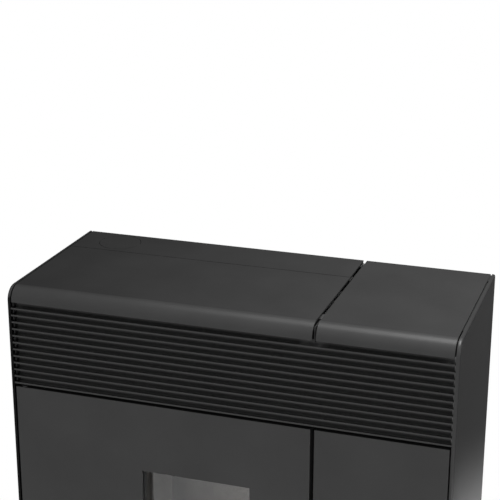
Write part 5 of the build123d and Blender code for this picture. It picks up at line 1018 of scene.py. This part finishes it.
def prisms(name, parts):
    """One mesh of flat prisms. Each part is an outline, its lower and its upper level."""
    shape = bmesh.new()
    for outline, low, high in parts:
        floor_points = [shape.verts.new((x * MM, y * MM, low * MM)) for x, y in outline]
        roof_points = [shape.verts.new((x * MM, y * MM, high * MM)) for x, y in outline]
        shape.faces.new(list(reversed(floor_points)))
        shape.faces.new(roof_points)
        for k in range(len(outline)):
            beside = (k + 1) % len(outline)
            shape.faces.new((floor_points[k], floor_points[beside], roof_points[beside], roof_points[k]))
    mesh = bpy.data.meshes.new(name)
    shape.to_mesh(mesh)
    shape.free()
    return mesh


print("a quarter arc has", len(arc((0, 0), 1, 0, 90, 6)), "points")

# %% [markdown]
# ## The display
#
# Three keys and a display sit under the hopper lid. The display is off, so its seven-segment
# digits show only as a slightly paler print under a dark window. Each segment is a bar with
# pointed ends, and the whole digit leans a tenth to the right.

# %% Display window and segments
WINDOW_LEFT, WINDOW_WIDTH, WINDOW_HALF = 16.2, 79.6, 10.7
WINDOW_CORNER = 3.0
WINDOW_SINK, WINDOW_THICK = 1.0, 0.8
DIGITS = 4
DIGIT_START, DIGIT_STEP = 15.8, 16.0
SEGMENT_HALF, SEGMENT_WIDE, SEGMENT_TALL = 2.5, 0.62, 5.0
SEGMENT_OUT, SEGMENT_GAP = 0.4, 0.5
LEAN = 0.1
SEGMENT_PRINT = 0.03
KEY_RADIUS = 6.0


def key_middle(slot):
    """Middle of a round key, seen from above."""
    low, high = corners(slot)
    return high.x - KEY_RADIUS, (low.y + high.y) / 2


def digit(x, y):
    """Outlines of the seven segments of one digit, centred on x and y."""
    half, wide, tall = SEGMENT_HALF, SEGMENT_WIDE, SEGMENT_TALL
    made = []
    for up in (-tall, 0.0, tall):
        left, right = x + up * LEAN - half, x + up * LEAN + half
        made.append([(left + wide, y + up - wide), (right - wide, y + up - wide), (right, y + up),
                     (right - wide, y + up + wide), (left + wide, y + up + wide), (left, y + up)])
    for side in (-half - SEGMENT_OUT, half + SEGMENT_OUT):
        for first in (-tall, 0.0):
            low, high = y + first + SEGMENT_GAP, y + first + tall - SEGMENT_GAP
            base, top = x + side + (low - y) * LEAN, x + side + (high - y) * LEAN
            made.append([(base, low), (base + wide, low + wide), (top + wide, high - wide),
                         (top, high), (top - wide, high - wide), (base - wide, low + wide)])
    return made


panel_row = key_middle("button_power")[1]
panel_low, panel_high = corners("control_panel")
window_x = panel_low.x + WINDOW_LEFT
window_floor = panel_high.z - WINDOW_SINK
window_top = window_floor + WINDOW_THICK
window_outline = rounded((window_x, panel_row - WINDOW_HALF),
                         (window_x + WINDOW_WIDTH, panel_row + WINDOW_HALF), WINDOW_CORNER, 6)
add_piece(prisms("display_window", [(window_outline, window_floor, window_top)]),
          moulded("dark_display_window", (0.004, 0.005, 0.006), 0.06, POLISHED_MOULD), "casing",
          "control_panel")
segments = [(outline, window_top, window_top + SEGMENT_PRINT) for k in range(DIGITS)
            for outline in digit(window_x + DIGIT_START + DIGIT_STEP * k, panel_row)]
add_piece(prisms("display_segments", segments),
          moulded("unlit_segment_print", (0.03, 0.032, 0.034), 0.3, POLISHED_MOULD), "casing",
          "control_panel")

# %% [markdown]
# ## The signs on the keys
#
# The keys carry plain signs: a broken ring with a bar for on and off, and arrows down and up.
# The arrow is one outline, drawn from the other end and upside down for the key that lowers.
# Each sign rides on its own key, so that it goes down when the key is pressed.

# %% Key signs
SIGN_PRINT = 0.08
RING_OUT, RING_IN = 2.5, 1.9
RING_START, RING_END = 125, 415
BAR_HALF, BAR_LOW, BAR_HIGH = 0.3, 0.4, 3.0
ARROW = [(-2.4, -1.0), (-1.9, -1.5), (0.0, 0.4), (1.9, -1.5), (2.4, -1.0), (0.0, 1.4)]
sign_print = moulded("pale_sign_print", (0.55, 0.55, 0.56), 0.5)


def key_sign(name, body, slot, outlines):
    top = corners(slot)[1].z
    parts = [(outline, top, top + SIGN_PRINT) for outline in outlines]
    add_piece(prisms(name, parts), sign_print, body, slot)


ring_x, ring_y = key_middle("button_power")
ring = arc((ring_x, ring_y), RING_OUT, RING_START, RING_END, 24)
ring += arc((ring_x, ring_y), RING_IN, RING_END, RING_START, 24)
bar = [(ring_x - BAR_HALF, ring_y + BAR_LOW), (ring_x + BAR_HALF, ring_y + BAR_LOW),
       (ring_x + BAR_HALF, ring_y + BAR_HIGH), (ring_x - BAR_HALF, ring_y + BAR_HIGH)]
key_sign("power_key_sign", "power_key", "button_power", [ring, bar])
for way, rise in (("down", -1), ("up", 1)):
    arrow_x, arrow_y = key_middle(f"button_{way}")
    spots = [(arrow_x + x, arrow_y + y * rise) for x, y in ARROW[::rise]]
    key_sign(f"{way}_key_sign", f"{way}_key", f"button_{way}", [spots])

# %% [markdown]
# ## A seal beside the lid
#
# The slit beside the lid is black up to its end. A black foam strip is glued to the inside of the
# side panel, just under the slit, and keeps out light and dust; as a dark piece in the slit it is
# also a painted shade. The lid's rear edge swings down behind its hinge line, so there the strip
# is narrower and stands up in the slit instead.

# %% Slit seal
STRIP_FRONT, STRIP_BACK = -120.0, 172.0
STRIP_INNER, STRIP_OUTER = 11.6, 1.6
STRIP_LEVELS = (1100.0, 1105.8)
TAIL_FRONT, TAIL_BACK = 172.2, 188.0
FIN_FRONT = 150.0
FIN_LEVELS = (1105.9, 1109.3)

panel_in, panel_out = corners("side_panel_right")
slit_left = corners("hopper_lid")[1].x + 0.4
slit_right = panel_in.x - 0.1
strip_left, strip_right = panel_out.x - STRIP_INNER, panel_out.x - STRIP_OUTER
strip = rounded((strip_left, STRIP_FRONT), (strip_right, STRIP_BACK), 2.0, 4)
tail = rounded((slit_left, TAIL_FRONT), (slit_right, TAIL_BACK), 1.0, 4)
fin = rounded((slit_left, FIN_FRONT), (slit_right, TAIL_BACK), 1.0, 4)
# The strip and its fin are a seal, and also a dark piece put in the slit as painted shade.
seal_parts = [(strip, *STRIP_LEVELS), (tail, *STRIP_LEVELS), (fin, *FIN_LEVELS)]
add_piece(prisms("side_slit_foam", seal_parts), foam_rubber("slit_foam_rubber", 0.1), "casing",
          "lid_gasket")

# %% [markdown]
# ## The floor
#
# The stove stands in a white studio. The floor is pale and takes the stove's shadow. Away
# from the stove it fades to plain white for whatever is looked at, which the Light Path node
# can ask for without any more light falling on the stove. A brighter lamp would do that too,
# but it would wash out the shadow.

# %% Floor
FLOOR_SIZE = 14.0
FLOOR_GREY = 0.78
FADE_START, FADE_END = 0.6, 1.25


def studio_floor():
    """Pale diffuse floor that fades to plain white away from the stove."""
    ground = Finish("pale_floor", Roughness=0.9, Specular_IOR_Level=0.0, Base_Color=neutral(FLOOR_GREY))
    far = ground.node("ShaderNodeVectorMath", {"operation": "LENGTH"}, {0: ground.place()}, "Value")
    fade = ground.node("ShaderNodeMapRange", {"interpolation_type": "SMOOTHSTEP"},
                       {"Value": far, "From Min": FADE_START, "From Max": FADE_END})
    multiply = {"operation": "MULTIPLY", "use_clamp": True}
    factor = ground.node("ShaderNodeMath", multiply, {0: ground.seen(), 1: fade})
    white = ground.node("ShaderNodeEmission", None, {"Color": neutral(1), "Strength": 1.0})
    paint = Wire(ground, ground.shader.outputs["BSDF"])
    mixed = ground.node("ShaderNodeMixShader", None, {0: factor, 1: paint, 2: white})
    ground.feed(ground.tree.nodes["Material Output"].inputs["Surface"], mixed)
    return ground.material


half = FLOOR_SIZE / 2
floor_corners = [(-half, -half, 0), (half, -half, 0), (half, half, 0), (-half, half, 0)]
floor_mesh = bpy.data.meshes.new("floor")
floor_mesh.from_pydata(floor_corners, [], [(0, 1, 2, 3)])
floor_mesh.materials.append(studio_floor())
floor = bpy.data.objects.new("floor", floor_mesh)
bpy.context.scene.collection.objects.link(floor)
print("floor is", FLOOR_SIZE, "m across")

# %% [markdown]
# ## The room
#
# Beyond the floor is the world. It is plain white to the camera, in a mirror and through the
# glass, so polished metal shows a white studio. As a light it is much weaker, because the
# lamps do that work and the slits have to stay dark.

# %% World
ROOM_LIGHT = 0.2
world = bpy.data.worlds.new("studio")
bpy.context.scene.world = world
world.use_nodes = True
background = world.node_tree.nodes["Background"]
background.inputs["Color"].default_value = neutral(1)
sky = Web(world.node_tree)
shares = {"Value": sky.seen(), "To Min": ROOM_LIGHT, "To Max": 1.0}
sky.feed(background.inputs["Strength"], sky.node("ShaderNodeMapRange", None, shares))
print("room light", ROOM_LIGHT)

# %% [markdown]
# ## Lamps
#
# A row of soft boxes hangs over the stove, each brighter than the one to its left. The tops get
# brighter towards the hopper side, and the rolled front edge mirrors the row as a line of light
# that grows the same way. A low box far away fills the front. A narrow one stands to the right,
# and its light fades out halfway up the side panel. A weak one lights the left side and the back.
# The paint mirrors none of these three.

# %% Soft boxes
ROW_START, ROW_STEP, ROW_Y, ROW_Z = -0.2, 0.5, 0.05, 2.3
ROW_POWERS = (2.6, 6.4, 27.3)
SIDE_TILT, SIDE_SPREAD = -20, 40


def soft_box(name, place, target, size, power, mirrored=False):
    """A lamp at a place, aimed at a target. Sizes are in metres and the power in watts."""
    lamp = bpy.data.lights.new(name, "AREA")
    lamp.shape = "RECTANGLE"
    lamp.size, lamp.size_y = size
    lamp.energy = power
    holder = bpy.data.objects.new(name, lamp)
    holder.location = place
    holder.rotation_euler = (Vector(target) - Vector(place)).to_track_quat("-Z", "Y").to_euler()
    holder.visible_glossy = mirrored
    bpy.context.scene.collection.objects.link(holder)
    return holder


for step, power in enumerate(ROW_POWERS):
    row_x = ROW_START + ROW_STEP * step
    soft_box(f"box_overhead_{step}", (row_x, ROW_Y, ROW_Z), (row_x, ROW_Y, 0.0), (0.5, 0.8), power, True)
soft_box("box_front", (1.4, -7.0, 0.6), (0, -0.2, 0.7), (2.6, 1.6), 274)
side_box = soft_box("box_side", (0.95, -0.027, 0.345), (0.45, -0.027, 0.345), (0.7, 0.66), 13.1)
side_box.rotation_euler.rotate_axis("Z", radians(SIDE_TILT))
side_box.data.spread = radians(SIDE_SPREAD)
soft_box("box_left", (-2.6, 0.6, 0.8), (-0.45, 0.0, 0.6), (1.2, 1.0), 12)

# %% [markdown]
# ## Camera
#
# The camera stands to the hopper side and looks down on the stove's top, with a long lens,
# so only the upper part of the stove is in the picture. Its place, turn and focal length were
# found by matching the stove's straight edges to those in the photograph.

# %% Camera
IMAGE_WIDTH = 500
FOCAL_PIXELS = 1389.4
CAMERA_PLACE = (0.8174, -2.4753, 2.0508)
CAMERA_TURN = 18.467
CAMERA_DIP = 18.573
CAMERA_ROLL = 0.139
SENSOR = 36.0
lens = bpy.data.cameras.new("view")
lens.sensor_width = SENSOR
lens.lens = FOCAL_PIXELS / IMAGE_WIDTH * SENSOR
lens.clip_end = 60
camera = bpy.data.objects.new("view", lens)
camera.location = CAMERA_PLACE
turn = Matrix.Rotation(radians(CAMERA_TURN), 4, "Z") @ Matrix.Rotation(radians(90 - CAMERA_DIP), 4, "X")
camera.rotation_euler = (turn @ Matrix.Rotation(radians(CAMERA_ROLL), 4, "Z")).to_euler()
bpy.context.scene.collection.objects.link(camera)
bpy.context.scene.camera = camera
bpy.context.scene.view_settings.view_transform = "Standard"
print("lens", round(lens.lens, 1), "mm")
